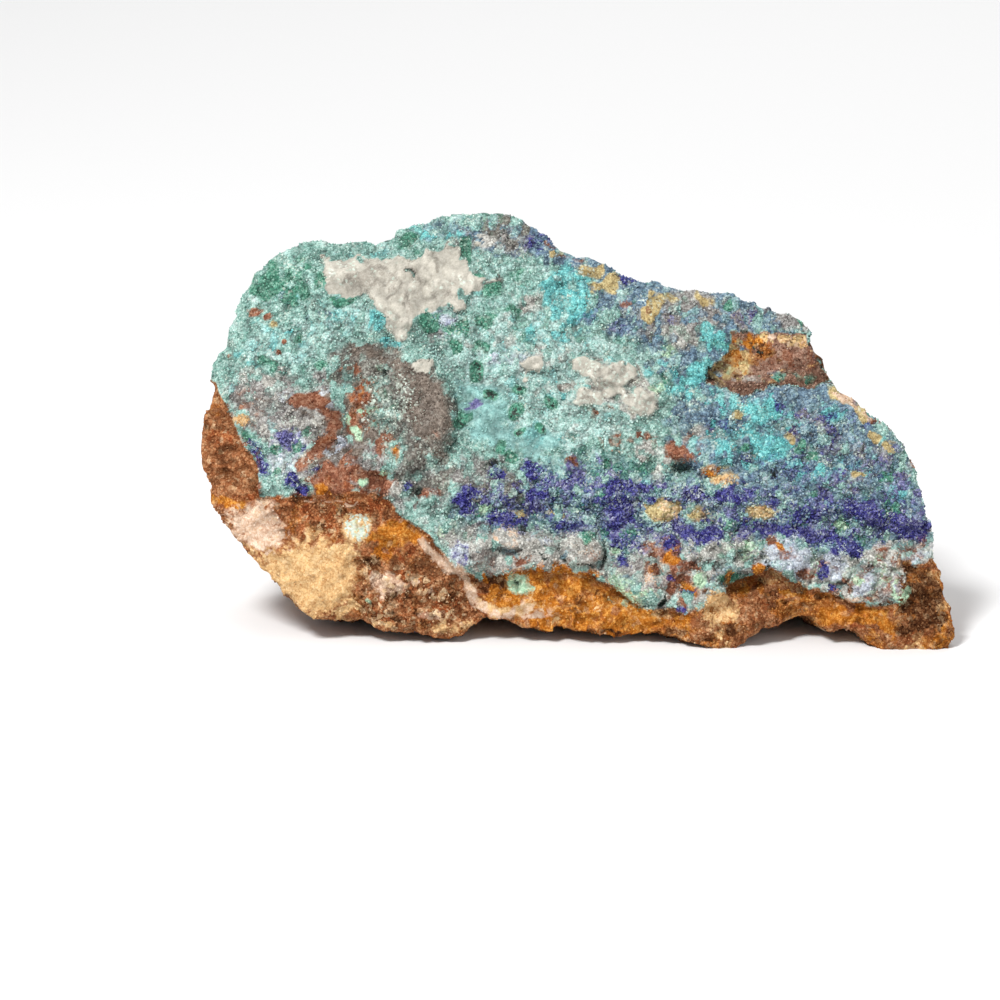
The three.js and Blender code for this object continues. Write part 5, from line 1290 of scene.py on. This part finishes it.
# Grains are small crystals that stand on the stone, joined in one mesh for each kind. Their templates have
# the long axis along +Z: an eight-faced grain, and a blade with a chisel tip.
grainShapes = {
    "octahedron": (
        [(1, 0, 0), (0, 1, 0), (-1, 0, 0), (0, -1, 0), (0, 0, 1), (0, 0, -1)],
        [(0, 1, 4), (1, 2, 4), (2, 3, 4), (3, 0, 4), (1, 0, 5), (2, 1, 5), (3, 2, 5), (0, 3, 5)]),
    "blade": (
        [(1, 0.45, -1), (-1, 0.45, -1), (-1, -0.45, -1), (1, -0.45, -1), (0.9, 0.4, 0.6), (-0.9, 0.4, 0.6),
         (-0.9, -0.4, 0.6), (0.9, -0.4, 0.6), (0.5, 0, 1), (-0.5, 0, 1)],
        [(0, 1, 5), (0, 5, 4), (1, 2, 6), (1, 6, 5), (2, 3, 7), (2, 7, 6), (3, 0, 4), (3, 4, 7), (4, 5, 9),
         (4, 9, 8), (6, 7, 8), (6, 8, 9), (5, 6, 9), (7, 4, 8), (1, 0, 3), (1, 3, 2)]),
}


# Random places on the stone, denser where the weight is higher: a triangle is drawn by area and weight, then
# a point in it.
def scatter(weight, count, rng):
    a, b, c = (points[triangles[:, i]] for i in range(3))
    area = np.linalg.norm(np.cross(b - a, c - a), axis=1)
    chance = area * weight[triangles].mean(1)
    chosen = triangles[rng.choice(len(triangles), count, p=chance / chance.sum())]
    share = rng.dirichlet((1, 1, 1), count)
    place = (points[chosen] * share[..., None]).sum(1)
    normal = (normals[chosen] * share[..., None]).sum(1)
    taken = {name: (masks[name][chosen] * share).sum(1) for name in minerals}
    return place, normal / np.linalg.norm(normal, axis=1)[:, None], taken, clumpValues[chosen[:, 0]]


# One colour for each grain, in a random shade: the minerals are painted over each other where their limits
# lie above the grain's chance, as on the stone itself.
def grainColours(taken, together, count, rng):
    mix = rng.random(count)[:, None]
    lower, upper = np.clip(2 * mix, 0, 1), np.clip(2 * mix - 1, 0, 1)
    colour = np.zeros((count, 3))
    for i, (name, shades) in enumerate(minerals.items()):
        dark, middle, light = (np.array(linear(code)) for code in shades)
        body = (dark * (1 - lower) + middle * lower) * (1 - upper) + light * upper
        chance = gatheringOf(name) * together[:, i % 4] + (1 - gatheringOf(name)) * rng.random(count)
        limit = limitFor(taken[name], name)
        over = np.clip(rockFinish["switch"] * (limit - chance) + 0.5, 0, 1)[:, None] if i else 1
        colour = colour * (1 - over) + body * over
    return colour


grainStand = {
    "tilt": 0.45,  # how far grains lean off the surface's normal, as a share of its length
    "floorGap": 0.02,  # mm that grains stay above the floor
    "start": 0.6,  # mm above the floor from which grains grow
}


# Copies of a template at the places: scaled, spun about the long axis and tilted off the surface's normal.
def standGrains(template, place, normal, size, stretch, sink, rng):
    corners, faces = (np.array(part, float) for part in grainShapes[template])
    count = len(place)
    axis = normal + rng.normal(0, grainStand["tilt"], (count, 3))
    axis /= np.linalg.norm(axis, axis=1)[:, None]
    side = np.cross(axis, rng.normal(0, 1, (count, 3)))
    side /= np.linalg.norm(side, axis=1)[:, None]
    third = np.cross(axis, side)
    shape = corners[None] * size[:, None, None] * stretch
    centre = place + normal * (size * (0.5 - sink))[:, None]
    standing = centre[:, None] + shape[..., :1] * side[:, None] + shape[..., 1:2] * third[:, None]
    standing = standing + shape[..., 2:] * axis[:, None]
    index = faces[None].astype(int) + np.arange(count)[:, None, None] * len(corners)
    return standing.reshape(-1, 3), index.reshape(-1, 3), len(corners)


# One kind of grains as a piece, with a colour for each grain and its lustre in the alpha.
def grainPiece(name, settings, weight):
    rng = np.random.default_rng(settings["seed"])
    count = settings["count"]
    place, normal, taken, together = scatter(weight, count, rng)
    size = rng.uniform(*settings["size"], count) / 2
    standing, faces, each = standGrains(
        settings["shape"], place, normal, size, np.array(settings["stretch"]), settings["sink"], rng)
    standing[:, 2] = np.maximum(standing[:, 2], grainStand["floorGap"])
    colour = grainColours(taken, together, count, rng)
    colour = np.repeat(np.hstack([colour, 1 - dullShare(taken)[:, None]]), each, 0)
    piece = meshObject(name, standing, faces, {"grainColour": colour}, False)
    piece.data.materials.append(grainMaterial)
    print(name + ":", len(faces), "triangles")
    return piece


# The smallest and largest size are in millimetres, and sink is the share of a grain that is in the stone.
druseGrains = {"seed": 11, "count": 24000, "size": (0.18, 0.42), "shape": "octahedron",
               "stretch": (1, 1, 1.2), "sink": 0.4}
azuriteBlades = {"seed": 12, "count": 9000, "size": (0.25, 0.5), "shape": "blade",
                 "stretch": (0.9, 0.9, 1.1), "sink": 0.3}
limoniteGrains = {"seed": 13, "count": 20000, "size": (0.14, 0.42), "shape": "octahedron",
                  "stretch": (1, 1, 0.9), "sink": 0.45}

grainMaterial = crystalGrains()
crust = (1 - masks["limonite"]) * (1 - masks["calcite"]) * (1 - 0.8 * masks["smoothTeal"])
crust = crust * (1 - 0.7 * np.clip(masks["ochre"] + masks["rust"], 0, 1))
aboveFloor = points[:, 2] > grainStand["start"]
grainPiece("druseGrains", druseGrains, crust * aboveFloor)
grainPiece("azuriteBlades", azuriteBlades, (masks["azurite"] * crust * aboveFloor) ** 1.5)
grainPiece("limoniteGrains", limoniteGrains, masks["limonite"] * (1 - smoothShare(masks)) * aboveFloor)

# The floor, the sky and the lamps: places and sizes in metres, power in watts.
studio = {
    "floorColour": "#eeeeee",
    "skyStrength": 0.42,
    "key": {"place": (-0.25, -0.38, 0.55), "size": 0.16, "power": 5.2},
    "fill": {"place": (0.55, -0.45, 0.30), "size": 0.5, "power": 1.0},
    "back": {"place": (0.10, 0.60, 0.55), "size": 0.5, "power": 2.0},
}


# A wide, flat floor.
def paleFloor():
    mesh = bpy.data.meshes.new("floor")
    mesh.from_pydata([(-6, -6, 0), (6, -6, 0), (6, 6, 0), (-6, 6, 0)], [], [(0, 1, 2, 3)])
    floor = bpy.data.objects.new("floor", mesh)
    bpy.context.scene.collection.objects.link(floor)
    material, tree = newMaterial("matt white board")
    surface = addNode(tree, "BsdfPrincipled", {"Base Color": (*linear(studio["floorColour"]), 1),
                                               "Roughness": 0.9})
    addNode(tree, "OutputMaterial", {"Surface": surface.outputs[0]})
    mesh.materials.append(material)


# A square lamp that points at the origin.
def areaLight(name, place, size, power):
    lamp = bpy.data.lights.new(name, "AREA")
    lamp.size = size
    lamp.energy = power
    light = bpy.data.objects.new(name, lamp)
    light.location = place
    light.rotation_euler = (-light.location).to_track_quat("-Z", "Y").to_euler()
    bpy.context.scene.collection.objects.link(light)


# An even white sky.
def softSky():
    world = bpy.data.worlds.new("soft box")
    world.use_nodes = True
    world.node_tree.nodes.clear()
    sky = addNode(world.node_tree, "Background", {"Color": (1, 1, 1, 1), "Strength": studio["skyStrength"]})
    addNode(world.node_tree, "OutputWorld", {"Surface": sky.outputs[0]})
    bpy.context.scene.world = world


# The camera looks square onto the leaning plane, through a long lens. A render shows viewWidth millimetres
# across at the depth of the face's rim.
view = {
    "lens": 200,
    "sensor": 36,
    "viewWidth": 133.9,
    "aim": (-10.2, 19.8),  # the render's middle on the plane, as (u, v)
    "rimDepth": 9,
}


# The camera's distance is the lens over the sensor's width, times the width that the picture shows.
def longLens():
    data = bpy.data.cameras.new("camera")
    data.lens = view["lens"]
    data.sensor_width = view["sensor"]
    distance = view["viewWidth"] / view["sensor"] * view["lens"]
    centreY = -backBlock["depth"] / 2
    eye = fromPlane(*(np.array(n, float) for n in (*view["aim"], view["rimDepth"] - distance)))
    camera = bpy.data.objects.new("camera", data)
    camera.location = (eye + [0, centreY, 0]) * millimetre
    camera.rotation_euler = (math.pi / 2 - facePlane["lean"], 0, 0)
    data.clip_start, data.clip_end = 0.01, 50
    bpy.context.scene.collection.objects.link(camera)
    bpy.context.scene.camera = camera


paleFloor()
for name in ("key", "fill", "back"):
    areaLight(name, **studio[name])
softSky()
longLens()
bpy.context.scene.view_settings.view_transform = "Standard"
print("studio ready")
